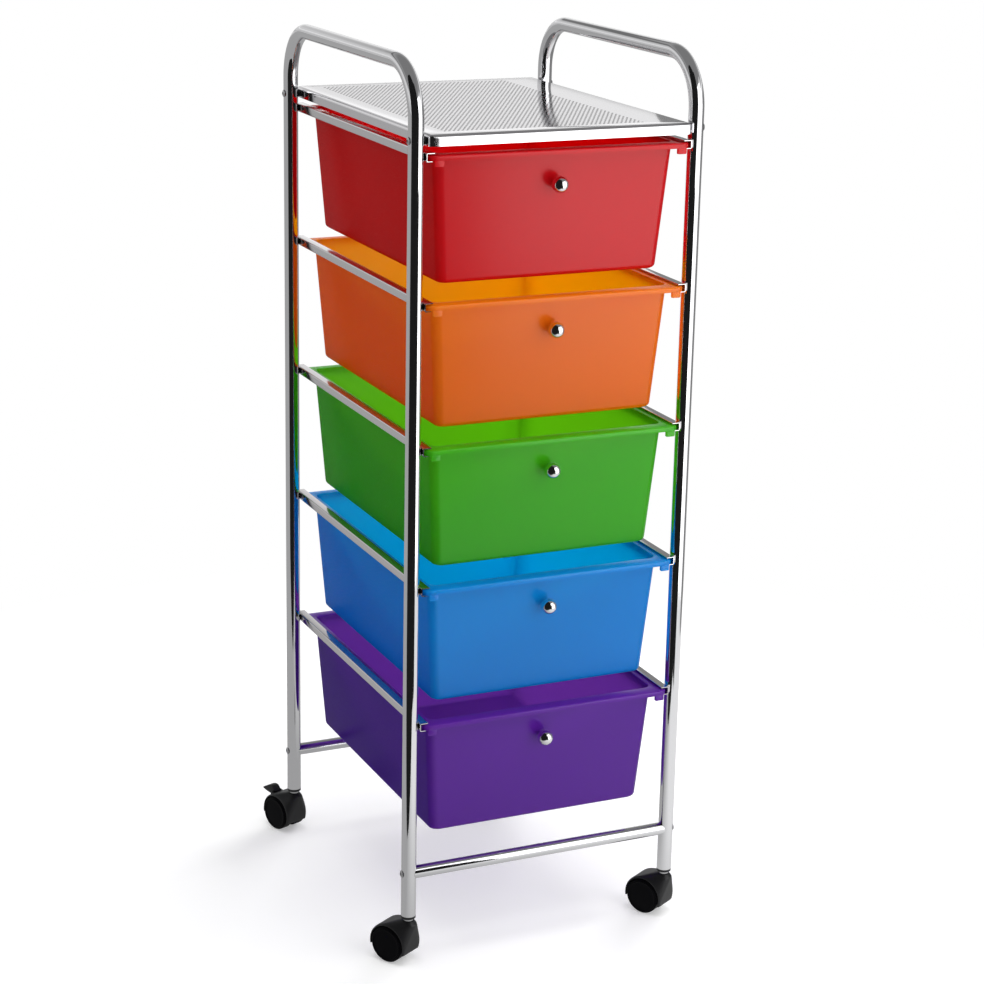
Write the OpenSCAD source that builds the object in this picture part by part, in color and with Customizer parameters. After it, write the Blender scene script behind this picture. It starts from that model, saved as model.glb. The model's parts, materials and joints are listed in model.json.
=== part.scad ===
// Drawer tower: five tapered drawers hang on C-section rails between two bent-tube
// side frames, with a folded sheet tray on top and a twin-wheel caster in each leg.
// Millimetres, +Z up, front towards -Y. The origin is on the floor, in the middle of
// the overall plan (casters, brake levers and knobs included).

/* [Side frames] */
// Distance between the centre lines of the left and right legs
leg_span_x = 309; // [280:1:360]
// Distance between the centre lines of the front and rear legs
leg_span_y = 360; // [340:1:400]
// Outside diameter of the leg tube
tube_d = 16; // [14:0.5:19]
// Wall of the leg tube
tube_wall = 1; // [0.8:0.1:1.5]
// Height of the handle bar's centre line above the tray
handle_rise = 65.5; // [60:0.5:90]
// Centre-line radius of the handle bends
handle_bend_r = 54; // [40:1:56]

/* [Cross tubes] */
// Height of the lower cross tubes' centre line above the leg ends
cross_rise = 48.7; // [42:0.1:70]
// Outside diameter of the lower cross tubes
cross_d = 14; // [10:0.5:15]
// Wall of the lower cross tubes
cross_wall = 1; // [0.8:0.1:1.5]
// Length of the threaded insert in each end of a cross tube
insert_l = 15; // [14:1:25]

/* [Rails] */
// Outside height of a rail's C section
rail_h = 9; // [8:0.5:12]
// Width of a rail's flanges, from the web's outer face
rail_w = 9; // [8:0.5:10]
// Thickness of the rail sheet
rail_sheet = 1; // [0.8:0.1:1.5]

/* [Tray] */
// Height of the tray's top face above the top rail's centre line
tray_rise = 22.5; // [21:0.5:40]
// Height of the tray's folded edge
tray_edge_h = 11.5; // [11:0.5:14]
// Thickness of the tray sheet
tray_sheet = 1; // [0.8:0.1:1.2]
// Outside radius of the folds along the tray's top
tray_fold_r = 2.5; // [2:0.1:3]
// Plan radius of the tray's corners
tray_corner_r = 3; // [2:0.5:6]
// Gap between a leg and the tray's edge, filled by a spacer at each screw
tray_gap = 2; // [1.5:0.1:4]
// How far the tray's edge stands ahead of the front legs' centre lines
tray_overhang = 11.5; // [9:0.5:14]

/* [Drawers] */
// Depth of a drawer, from the rail's centre line down to its underside
drawer_h = 131; // [90:1:160]
// Length of a drawer's rim, front to back
drawer_l = 373.5; // [350:0.5:374]
// How far a drawer's front rim stands ahead of the front legs' centre lines
drawer_overhang = 11.5; // [9:0.5:14]
// Gap between a drawer's rim and the rail's web on each side
rim_side_clear = 1.5; // [1:0.1:2]
// Height of a drawer's rim top above the rail's centre line
rim_up = 2; // [1.5:0.1:2.5]
// Width of the rim beside the drawer's walls
rim_side = 11; // [9.6:0.1:16]
// Width of the rim ahead of the front wall
rim_front = 14.7; // [10:0.1:18]
// Width of the rim behind the back wall
rim_back = 10.3; // [8:0.1:16]
// Plan radius of the rim's corners
rim_corner_r = 8; // [4:0.5:12]
// How far each wall leans outwards over the drawer's depth
draft = 9.7; // [4:0.1:12]
// Thickness of the drawer's walls, floor and rim
drawer_wall = 2; // [1.5:0.1:2.5]
// Plan radius of the drawer's corners
tub_corner_r = 10; // [6:0.5:16]
// Radius where the walls meet the floor
floor_edge_r = 5; // [3:0.5:6]
// Free height between a rail's centre line and the drawer above
drawer_gap = 18; // [14:1:40]
// Free height between the lower cross tubes and the lowest drawer
lowest_gap = 29.5; // [10:0.5:60]

/* [Drawer stops] */
// Width of the stop tab under each front corner of a rim
tab_w = 10; // [8:0.5:14]
// How far a tab laps over the end of the rail's lower flange
tab_lap = 1.5; // [1:0.1:3]
// Thickness of a tab, front to back
tab_t = 3.2; // [2.5:0.1:3.2]
// Depth of a tab below the rail's centre line
tab_drop = 9; // [7:0.5:14]

/* [Knobs] */
// Diameter of the ball knob
knob_d = 17.5; // [14:0.5:22]
// Distance from the drawer's front to the ball's centre
knob_reach = 11; // [10:0.5:22]
// Depth of the knob below the rail's centre line
knob_drop = 33; // [24:1:60]
// Diameter of the knob's neck
knob_neck_d = 6; // [6:0.5:9]
// Thread diameter of the knob's screw
knob_screw_d = 4; // [3:0.5:5]

/* [Frame screws] */
// Thread diameter of the frame screws
screw_d = 5; // [4:0.5:5]
// Length of the frame screws under the head
screw_l = 28; // [26:1:32]
// Diameter of the screw heads
screw_head_d = 8; // [7.5:0.5:11]
// Height of the screw heads
screw_head_h = 1.6; // [1.4:0.1:3.5]

/* [Casters] */
// Diameter of the caster wheels
wheel_d = 40; // [36:1:46]
// Overall width over a caster's two wheels
wheel_set_w = 33; // [31:0.5:38]
// Horizontal distance from a caster's stem to its axle
trail = 18; // [16:0.5:20]
// Gap between a wheel's tread and the hood
tread_gap = 1.3; // [1:0.1:2]
// Thickness of the hood's shell
hood_wall = 2; // [1.6:0.1:3]
// Thickness of the web between a caster's wheels
web_t = 7; // [6:0.5:9]
// Height of the stem boss above the hood's drum
boss_rise = 6.5; // [5:0.5:12]
// Diameter of the stem boss
boss_d = 12; // [11.5:0.5:18]
// Diameter of the caster stem
stem_d = 8; // [7:0.5:9]
// Diameter of the caster axle
axle_d = 6; // [5:0.5:6.5]
// Height of the collar under each leg end
collar_h = 3; // [2:0.5:6]
// Length of the socket inside the leg
socket_l = 30; // [25:1:36]
// Swivel angle at which both front casters stand
front_yaw = 30.5; // [0:0.5:60]
// Swivel angle at which the left rear caster stands
left_rear_yaw = 20; // [0:0.5:60]
// Swivel angle at which the right rear caster stands
right_rear_yaw = 32; // [0:0.5:60]

/* [Brake levers] */
// Width of a brake lever
lever_w = 9.5; // [8:0.5:13]
// Reach of the lever's tip from its pivot
lever_reach = 20.5; // [18:0.5:28]
// Height of the lever's crown above its pivot
lever_rise = 8.4; // [7.5:0.1:12]
// Angle of the lever's pivot up the hood, from the rear
lever_angle = 50; // [45:1:54]

/* [Hidden] */
TIERS = 5;
CORNERS = ["front_left", "front_right", "rear_left", "rear_right"];

$fn = 64;
HULL_FN = 32;
eps = 1;                      // how far a cutting solid runs past the face it cuts
slice = 0.01;                 // thickness of the plates that a hull is stretched over

// Clearances
fit_clear = 0.05;             // radial, round a turning or seated shaft
screw_clear = 0.1;            // radial, round a screw in a plain hole
swivel_gap = 0.3;             // under a leg's collar
seat_gap = 0.3;               // between a drawer's rim and the rail it rests on
stop_gap = 0.3;               // between a stop tab and the rail's end
cope_gap = 0.1;               // between a cross tube's shaped end and the leg

// Caster heights
axle_z = wheel_d / 2;
tread_r = wheel_d / 2 + tread_gap;
hood_r = tread_r + hood_wall;
boss_top_z = axle_z + hood_r + boss_rise;
flange_t = 2.2;
flange_d = boss_d - 1;
leg_foot_z = boss_top_z + flange_t + swivel_gap + collar_h;

// Frame
leg_x = leg_span_x / 2;
leg_y = leg_span_y / 2;
leg_r = tube_d / 2;
leg_inner_x = leg_x - leg_r;
cross_z = leg_foot_z + cross_rise;
screw_hole_d = screw_d + 2 * screw_clear;
nut_w = screw_d * 1.6;
nut_t = screw_d * 0.8;

// Rails, counted from the top
rail_pitch = drawer_h + drawer_gap;
low_rail_z = cross_z + cross_d / 2 + lowest_gap + drawer_h;
function rail_z(tier) = low_rail_z + (TIERS - tier) * rail_pitch;
rail_half_l = leg_y + leg_r;

// Tray
tray_z = rail_z(1) + tray_rise;
tray_x = leg_inner_x - tray_gap;
tray_y = leg_y + tray_overhang;
tray_screw_z = tray_z - tray_fold_r - nut_w / 2;
handle_z = tray_z + handle_rise;
bend_z = handle_z - handle_bend_r;

// Drawers, measured from the rail's centre line
rim_x = leg_inner_x - rail_sheet - rim_side_clear;
rim_front_y = -leg_y - drawer_overhang;
rim_back_y = rim_front_y + drawer_l;
rim_low = -rail_h / 2 + rail_sheet + seat_gap;
floor_z = -drawer_h;
tab_back_y = -rail_half_l - stop_gap;
draft_angle = atan(draft / (rim_up - floor_z));
knob_wall_y = rim_front_y + rim_front + lean(-knob_drop);

// How far a wall stands inside its top edge at height z
function lean(z) = draft * (rim_up - z) / (rim_up - floor_z);

// Wheels
hood_half_w = wheel_set_w / 2 - 1.5;
web_gap = 0.7;
wheel_in = web_t / 2 + web_gap;
wheel_out = wheel_set_w / 2;
disc_t = 1.2;
disc_inset = 0.3;
tread_round = 1.2;
hub_r = 6;
rim_t = 3;
recess = 7;
axle_half_l = wheel_out - disc_t - 2;
skirt_front_z = 12;
skirt_back_z = 16;

// Brake lever, measured from the stem along the trail
pivot_r = hood_r + 0.9;
pivot_t = trail + pivot_r * cos(lever_angle);
pivot_z = axle_z + pivot_r * sin(lever_angle);
trunnion_r = 1.4;
barrel_r = 2.5;
ear_r = 3.2;
ear_t = 2.5;
ear_gap = 0.2;
lever_cut_r = 4.2;

// Middle of the overall plan, seen from the middle between the legs
plan_mid_x = -trail * sin(front_yaw);
lever_tip_y = leg_y + (pivot_t + lever_reach) * cos(left_rear_yaw) + lever_w / 2 * sin(left_rear_yaw);
knob_tip_y = knob_wall_y - knob_reach * cos(draft_angle) - knob_d / 2;
hood_tip_y = -leg_y + (trail - hood_r) * cos(front_yaw) - hood_half_w * sin(front_yaw);
plan_mid_y = (lever_tip_y + min(knob_tip_y, hood_tip_y)) / 2;

CHROME = [0.78, 0.79, 0.81];
STEEL = [0.6, 0.61, 0.63];
SHEET = [0.86, 0.86, 0.88];
NYLON = [0.07, 0.07, 0.08];
BLACK = [0.14, 0.14, 0.15];
DRAWER_COLOURS = [
  [0.8, 0.26, 0.23], [0.89, 0.48, 0.19], [0.31, 0.65, 0.2], [0.12, 0.51, 0.77], [0.38, 0.22, 0.56]
];

// Shared shapes ------------------------------------------------------------------

// Moves from the middle between the legs to the middle of the overall plan
module placed() {
  translate([-plan_mid_x, -plan_mid_y, 0]) children();
}

// Turns a solid drawn along +Z to lie along +X, and along +Y
module along_x() {
  rotate([0, 90, 0]) children();
}

module along_y() {
  rotate([-90, 0, 0]) children();
}

// One copy on the left, as drawn, or its mirror image on the right
module on_side(side) {
  mirror([side > 0 ? 1 : 0, 0, 0]) children();
}

// Rectangle with round corners, from its half width and its front and back edges
module rounded_plan(half_w, front, back, r) {
  translate([-half_w + r, front]) square([2 * (half_w - r), back - front]);
  translate([-half_w, front + r]) square([2 * half_w, back - front - 2 * r]);
  for (x = [-half_w + r, half_w - r])
    for (y = [front + r, back - r])
      translate([x, y]) circle(r);
}

// Side frames ----------------------------------------------------------------------

// Solid that follows the tube's route: up one leg, over the handle and down the other
module tube_route(d, extra) {
  bar_half = leg_y - handle_bend_r;
  for (turned = [0, 1])
    mirror([0, turned, 0]) {
      translate([0, leg_y, leg_foot_z - extra]) cylinder(d = d, h = bend_z - leg_foot_z + extra);
      translate([0, bar_half, bend_z])
        rotate([90, 0, 90])
          rotate_extrude(angle = 90)
            translate([handle_bend_r, 0]) circle(d = d);
    }
  translate([0, -bar_half, handle_z]) along_y() cylinder(d = d, h = 2 * bar_half);
}

module side_frame(side) {
  color(CHROME)
    translate([side * leg_x, 0, 0])
      difference() {
        tube_route(tube_d, 0);
        tube_route(tube_d - 2 * tube_wall, eps);
        for (y = [-leg_y, leg_y])
          for (z = [tray_screw_z, cross_z])
            translate([-leg_r - eps, y, z]) along_x() cylinder(d = screw_hole_d, h = tube_d + 2 * eps);
      }
}

// Cross tubes, and the threaded inserts in their ends ---------------------------------

module cross_tube(y) {
  color(CHROME)
    translate([0, y, cross_z])
      difference() {
        translate([-leg_x, 0, 0]) along_x() cylinder(d = cross_d, h = leg_span_x);
        translate([-leg_x - eps, 0, 0])
          along_x() cylinder(d = cross_d - 2 * cross_wall, h = leg_span_x + 2 * eps);
        for (x = [-leg_x, leg_x])
          translate([x, 0, -cross_d]) cylinder(r = leg_r + cope_gap, h = 2 * cross_d);
      }
}

module cross_tube_inserts() {
  color(BLACK)
    for (side = [-1, 1])
      for (y = [-leg_y, leg_y])
        on_side(side) translate([-leg_inner_x, y, cross_z]) along_x() difference() {
          cylinder(d = cross_d - 2 * cross_wall - 2 * fit_clear, h = insert_l);
          translate([0, 0, -eps]) cylinder(d = screw_d + 2 * fit_clear, h = insert_l + 2 * eps);
        }
}

// Rails, one C section for each end of a drawer's rim --------------------------------------

module rail(side, tier) {
  color(CHROME)
    on_side(side)
      translate([-leg_inner_x, -rail_half_l, rail_z(tier)])
        difference() {
          translate([0, 0, -rail_h / 2]) cube([rail_w, 2 * rail_half_l, rail_h]);
          translate([rail_sheet, -eps, -rail_h / 2 + rail_sheet])
            cube([rail_w, 2 * rail_half_l + 2 * eps, rail_h - 2 * rail_sheet]);
        }
}

// Tray, its spacers, its nuts and the screws of the whole frame -------------------------

// Cross section of the tray with round top edges
module fold_section(half_w, low, top, r) {
  translate([-half_w, low]) square([2 * half_w, top - r - low]);
  translate([-half_w + r, low]) square([2 * (half_w - r), top - low]);
  for (x = [-half_w + r, half_w - r])
    translate([x, top - r]) circle(r);
}

// Block whose four top edges are round, as a sheet folded over it would be
module folded_block(inset, low) {
  half_x = tray_x - inset;
  half_y = tray_y - inset;
  top = tray_z - inset;
  r = tray_fold_r - inset;
  intersection() {
    translate([0, half_y + eps, 0])
      rotate([90, 0, 0]) linear_extrude(2 * (half_y + eps)) fold_section(half_x, low, top, r);
    translate([-half_x - eps, 0, 0])
      rotate([90, 0, 90]) linear_extrude(2 * (half_x + eps)) fold_section(half_y, low, top, r);
    translate([0, 0, low - eps])
      linear_extrude(tray_edge_h + 3 * eps) rounded_plan(half_x, -half_y, half_y, tray_corner_r - inset);
  }
}

module top_tray() {
  edge_z = tray_z - tray_edge_h;
  color(SHEET)
    difference() {
      folded_block(0, edge_z);
      folded_block(tray_sheet, edge_z - eps);
      for (x = [-tray_x, tray_x])
        for (y = [-leg_y, leg_y])
          translate([x - 2 * tray_sheet, y, tray_screw_z])
            along_x() cylinder(d = screw_hole_d, h = 4 * tray_sheet);
    }
}

module tray_spacers() {
  color(BLACK)
    for (side = [-1, 1])
      for (y = [-leg_y, leg_y])
        on_side(side) translate([-leg_inner_x, y, tray_screw_z]) along_x() difference() {
          cylinder(d = screw_head_d, h = tray_gap);
          translate([0, 0, -eps]) cylinder(d = screw_hole_d, h = tray_gap + 2 * eps);
        }
}

module tray_nuts() {
  color(STEEL)
    for (side = [-1, 1])
      for (y = [-leg_y, leg_y])
        on_side(side) translate([-tray_x + tray_sheet, y, tray_screw_z]) along_x() difference() {
          rotate(30) cylinder(d = nut_w / cos(30), h = nut_t, $fn = 6);
          translate([0, 0, -eps]) cylinder(d = screw_d + 2 * fit_clear, h = nut_t + 2 * eps);
        }
}

// Domed screw with a hexagon socket, head at the origin and shank along +Z
module frame_screw() {
  key_w = screw_d * 0.6;
  dome_h = screw_head_h - 0.4;
  dome_r = (pow(screw_head_d / 2, 2) + pow(dome_h, 2)) / (2 * dome_h);
  difference() {
    union() {
      intersection() {
        translate([0, 0, -screw_head_h]) cylinder(d = screw_head_d, h = screw_head_h);
        translate([0, 0, dome_r - screw_head_h]) sphere(r = dome_r);
      }
      cylinder(d = screw_d, h = screw_l);
    }
    translate([0, 0, -screw_head_h - eps])
      cylinder(d = key_w / cos(30), h = screw_head_h * 0.6 + eps, $fn = 6);
  }
}

module frame_screws() {
  color(STEEL)
    for (side = [-1, 1])
      for (y = [-leg_y, leg_y])
        for (z = [tray_screw_z, cross_z])
          on_side(side) translate([-leg_x - leg_r, y, z]) along_x() frame_screw();
}

// Drawers ----------------------------------------------------------------------------

// One level of a drawer's body, inset from its outer face
module tub_level(z, inset, r) {
  half_w = rim_x - rim_side - lean(z) - inset;
  front = rim_front_y + rim_front + lean(z) + inset;
  back = rim_back_y - rim_back - lean(z) - inset;
  translate([0, 0, z]) linear_extrude(slice) rounded_plan(half_w, front, back, r, $fn = HULL_FN);
}

// Tapered body with a round edge at the floor, inset from the outer face
module tub_body(inset, top) {
  low = floor_z + inset;
  edge_r = floor_edge_r - inset;
  corner_r = tub_corner_r - inset;
  hull() {
    for (angle = [0, 30, 60, 90]) {
      in = edge_r * (1 - sin(angle));
      tub_level(low + edge_r * (1 - cos(angle)), inset + in, corner_r - in);
    }
    tub_level(top - slice, inset, corner_r);
  }
}

module rim() {
  difference() {
    translate([0, 0, rim_low])
      linear_extrude(rim_up - rim_low) rounded_plan(rim_x, rim_front_y, rim_back_y, rim_corner_r);
    translate([0, 0, rim_low - eps])
      linear_extrude(rim_up - rim_low - drawer_wall + eps)
        rounded_plan(
          rim_x - drawer_wall, rim_front_y + drawer_wall, rim_back_y - drawer_wall,
          rim_corner_r - drawer_wall
        );
  }
}

// Tab that meets the front end of the rail's lower flange when the drawer is shut
module stop_tab(side) {
  outer_x = leg_inner_x - rail_w + tab_lap;
  on_side(side)
    translate([-outer_x, rim_front_y, -tab_drop])
      cube([tab_w, tab_back_y - rim_front_y, tab_drop + rim_up - drawer_wall / 2]);
}

// Puts a part at the knob's place on the front wall, outwards along +Z
module at_knob(tier) {
  translate([0, knob_wall_y, rail_z(tier) - knob_drop]) rotate([90 + draft_angle, 0, 0]) children();
}

module drawer(tier) {
  color(DRAWER_COLOURS[tier - 1])
    difference() {
      translate([0, 0, rail_z(tier)])
        difference() {
          union() {
            tub_body(0, rim_up);
            rim();
            stop_tab(-1);
            stop_tab(1);
          }
          tub_body(drawer_wall, rim_up + eps);
        }
      at_knob(tier)
        translate([0, 0, -drawer_wall - eps])
          cylinder(d = knob_screw_d + 2 * screw_clear, h = drawer_wall + 2 * eps);
    }
}

module knob(tier) {
  thread_l = 12;
  color(CHROME)
    at_knob(tier)
      difference() {
        union() {
          cylinder(d = knob_neck_d, h = knob_reach);
          translate([0, 0, knob_reach]) sphere(d = knob_d);
        }
        translate([0, 0, -eps]) cylinder(d = knob_screw_d + 2 * fit_clear, h = thread_l + eps);
      }
}

module knob_screw(tier) {
  head_d = knob_screw_d * 2.2;
  head_h = knob_screw_d * 0.6;
  slot_w = knob_screw_d * 0.25;
  shank_l = drawer_wall + 10;
  color(STEEL)
    at_knob(tier)
      translate([0, 0, -drawer_wall])
        difference() {
          union() {
            translate([0, 0, -head_h]) cylinder(d = head_d, h = head_h);
            cylinder(d = knob_screw_d, h = shank_l);
          }
          for (turn = [0, 90])
            rotate(turn)
              translate([-head_d / 4, -slot_w / 2, -head_h - eps])
                cube([head_d / 2, slot_w, head_h / 2 + eps]);
        }
}

// Casters ----------------------------------------------------------------------------

// Puts a part at a leg's centre line on the floor
module at_leg(n) {
  translate([n % 2 == 0 ? -leg_x : leg_x, n < 2 ? -leg_y : leg_y, 0]) children();
}

// Turns it with the caster, so that the axle lies along X and the trail along Y
module at_caster(n) {
  yaw = n < 2 ? front_yaw : n == 2 ? left_rear_yaw : right_rear_yaw;
  at_leg(n) rotate(yaw) children();
}

// Cylinder along the axle's direction, centred on the caster's middle plane
module drum(r, half_w, t, z) {
  translate([-half_w, t, z]) along_x() cylinder(r = r, h = 2 * half_w);
}

// Plastic plug in a leg's end, with the bore that a caster's stem turns in
module socket(n) {
  bore_r = stem_d / 2 + fit_clear;
  end_t = 2;
  color(BLACK)
    at_leg(n)
      difference() {
        union() {
          translate([0, 0, leg_foot_z - collar_h]) cylinder(d = tube_d, h = collar_h);
          translate([0, 0, leg_foot_z]) cylinder(r = leg_r - tube_wall - fit_clear, h = socket_l);
        }
        translate([0, 0, leg_foot_z - collar_h - eps])
          cylinder(r = bore_r, h = collar_h + socket_l - end_t + eps);
      }
}

stem_root = 11;

module stem(n) {
  top_gap = 4;
  color(STEEL)
    at_caster(n) {
      translate([0, 0, boss_top_z - stem_root])
        cylinder(d = stem_d, h = leg_foot_z + socket_l - top_gap - boss_top_z + stem_root);
      translate([0, 0, boss_top_z]) cylinder(d = flange_d, h = flange_t);
    }
}

// Room for one wheel and everything outside the web
module wheel_room(side) {
  on_side(-side)
    translate([web_t / 2, trail, axle_z]) along_x() cylinder(r = tread_r, h = wheel_set_w);
}

// Everything below a line from the skirt's front to its back
module under_skirt() {
  span = 2 * (hood_r + trail);
  low = -span;
  translate([-wheel_set_w, 0, 0])
    rotate([90, 0, 90])
      linear_extrude(2 * wheel_set_w)
        polygon([
          [trail - span, low], [trail + span, low],
          [trail + span, skirt_back_z + (span - hood_r) * (skirt_back_z - skirt_front_z) / (2 * hood_r)],
          [trail - span, skirt_front_z - (span - hood_r) * (skirt_back_z - skirt_front_z) / (2 * hood_r)]
        ]);
}

// Ears that hold the brake lever's trunnions
module lever_ears() {
  ear_in = lever_w / 2 + ear_gap;
  for (side = [-1, 1])
    on_side(side) translate([-ear_in - ear_t, pivot_t, pivot_z]) along_x() cylinder(r = ear_r, h = ear_t);
}

module lever_room() {
  ear_in = lever_w / 2 + ear_gap;
  drum(lever_cut_r, ear_in, pivot_t, pivot_z);
  drum(trunnion_r + fit_clear, ear_in + ear_t + eps, pivot_t, pivot_z);
}

module hood(n) {
  braked = n >= 2;
  boss_blend = 6;
  color(NYLON)
    at_caster(n)
      difference() {
        union() {
          hull() {
            drum(hood_r, hood_half_w, trail, axle_z, $fn = HULL_FN);
            translate([0, 0, boss_top_z - boss_blend]) cylinder(d = boss_d, h = boss_blend, $fn = HULL_FN);
          }
          if (braked) lever_ears();
        }
        wheel_room(-1);
        wheel_room(1);
        under_skirt();
        if (braked) lever_room();
        translate([0, 0, boss_top_z - stem_root - fit_clear])
          cylinder(d = stem_d + 2 * fit_clear, h = stem_root + eps);
        drum(axle_d / 2 + fit_clear, wheel_set_w / 2, trail, axle_z);
      }
}

module axle(n) {
  color(STEEL) at_caster(n) drum(axle_d / 2, axle_half_l, trail, axle_z);
}

// Half section of a wheel's outside: the tread with round corners, and the disc beside it
module wheel_section(r, width) {
  translate([0, tread_round]) square([r, width - 2 * tread_round]);
  square([r - tread_round, width]);
  for (z = [tread_round, width - tread_round])
    translate([r - tread_round, z]) circle(tread_round, $fn = HULL_FN);
  square([r - tread_round - disc_inset, width + disc_t]);
}

// Wheel with a closed outer disc and a recess round its hub
module wheel(n, side) {
  r = wheel_d / 2;
  width = wheel_out - wheel_in - disc_t;
  color(NYLON)
    at_caster(n)
      on_side(-side)
        translate([wheel_in, trail, axle_z])
          along_x()
            difference() {
              rotate_extrude() wheel_section(r, width);
              translate([0, 0, -eps])
                difference() {
                  cylinder(r = r - rim_t, h = recess + eps);
                  cylinder(r = hub_r, h = recess + eps);
                }
              translate([0, 0, -eps])
                cylinder(d = axle_d + 2 * fit_clear, h = axle_half_l - wheel_in + fit_clear + eps);
            }
}

// Brake lever, raised as it stands when the caster is free
module brake_lever(n) {
  color(BLACK)
    at_caster(n) {
      translate([-lever_w / 2, pivot_t, pivot_z])
        rotate([90, 0, 90])
          linear_extrude(lever_w)
            polygon([
              [-barrel_r, 1.2], [-0.7, lever_rise - 3], [1.5, lever_rise - 0.7], [4, lever_rise],
              [lever_reach * 0.4, lever_rise - 0.5], [lever_reach * 0.65, lever_rise * 0.66],
              [lever_reach, 1.3], [lever_reach * 0.75, -0.9], [lever_reach / 3, -2.2],
              [barrel_r, -1.5], [0, 1]
            ]);
      drum(barrel_r, lever_w / 2, pivot_t, pivot_z);
      drum(trunnion_r, lever_w / 2 + ear_gap + ear_t, pivot_t, pivot_z);
    }
}

// Drawing --------------------------------------------------------------------------------

placed() side_frame(-1);  // left_side_frame
placed() side_frame(1);  // right_side_frame
placed() top_tray();
placed() cross_tube(-leg_y);  // front_cross_tube
placed() cross_tube(leg_y);  // rear_cross_tube
placed() cross_tube_inserts();
placed() frame_screws();
placed() tray_spacers();
placed() tray_nuts();

for (tier = [1 : TIERS]) {
  placed() rail(-1, tier);
  placed() rail(1, tier);
  placed() drawer(tier);
  placed() knob(tier);
  placed() knob_screw(tier);
}

for (n = [0 : len(CORNERS) - 1]) {
  placed() socket(n);
  placed() stem(n);
  placed() hood(n);
  placed() axle(n);
  placed() wheel(n, -1);
  placed() wheel(n, 1);
  placed() brake_lever(n);
}
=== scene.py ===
"""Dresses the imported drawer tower: modelled pieces, their finishes, the studio and the camera."""

import json
import logging
import math
from collections.abc import Callable, Sequence
from dataclasses import dataclass
from enum import Enum

import bmesh
import bpy
from mathutils import Matrix, Vector


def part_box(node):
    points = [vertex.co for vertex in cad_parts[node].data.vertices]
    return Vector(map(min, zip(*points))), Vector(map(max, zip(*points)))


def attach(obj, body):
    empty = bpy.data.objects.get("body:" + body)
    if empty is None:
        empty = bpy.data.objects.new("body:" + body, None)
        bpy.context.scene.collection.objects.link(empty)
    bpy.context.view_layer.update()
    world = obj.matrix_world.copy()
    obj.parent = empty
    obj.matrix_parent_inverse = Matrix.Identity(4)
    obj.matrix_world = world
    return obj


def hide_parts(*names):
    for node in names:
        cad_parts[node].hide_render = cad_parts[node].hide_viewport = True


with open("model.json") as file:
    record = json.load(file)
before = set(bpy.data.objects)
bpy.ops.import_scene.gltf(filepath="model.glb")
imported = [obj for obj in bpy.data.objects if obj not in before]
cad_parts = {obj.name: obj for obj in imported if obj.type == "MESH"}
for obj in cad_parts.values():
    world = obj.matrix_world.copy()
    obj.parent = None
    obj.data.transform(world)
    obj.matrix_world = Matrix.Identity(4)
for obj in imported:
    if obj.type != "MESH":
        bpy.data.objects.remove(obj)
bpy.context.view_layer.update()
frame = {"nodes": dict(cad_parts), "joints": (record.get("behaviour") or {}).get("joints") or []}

LOG = logging.getLogger("drawer_tower")
MM = 0.001
X_AXIS = Vector((1.0, 0.0, 0.0))
UP = Vector((0.0, 0.0, 1.0))
TIERS = range(1, 6)


class Side(Enum):
    """A side of the tower, with the sign of its X."""

    LEFT = -1
    RIGHT = 1


class Corner(Enum):
    """A corner of the tower, by the name that its nodes carry."""

    FRONT_LEFT = "front_left"
    FRONT_RIGHT = "front_right"
    REAR_LEFT = "rear_left"
    REAR_RIGHT = "rear_right"

    @property
    def braked(self) -> bool:
        """Whether this corner's caster has a brake lever."""
        return self in (Corner.REAR_LEFT, Corner.REAR_RIGHT)


class Part(Enum):
    """What a selection in edit mode is made of."""

    VERTICES = "VERT"
    EDGES = "EDGE"
    FACES = "FACE"


Test = Callable[[Vector, Vector], bool]
Outline = Sequence[tuple[float, float]]


# Modelling tools -----------------------------------------------------------------


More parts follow.
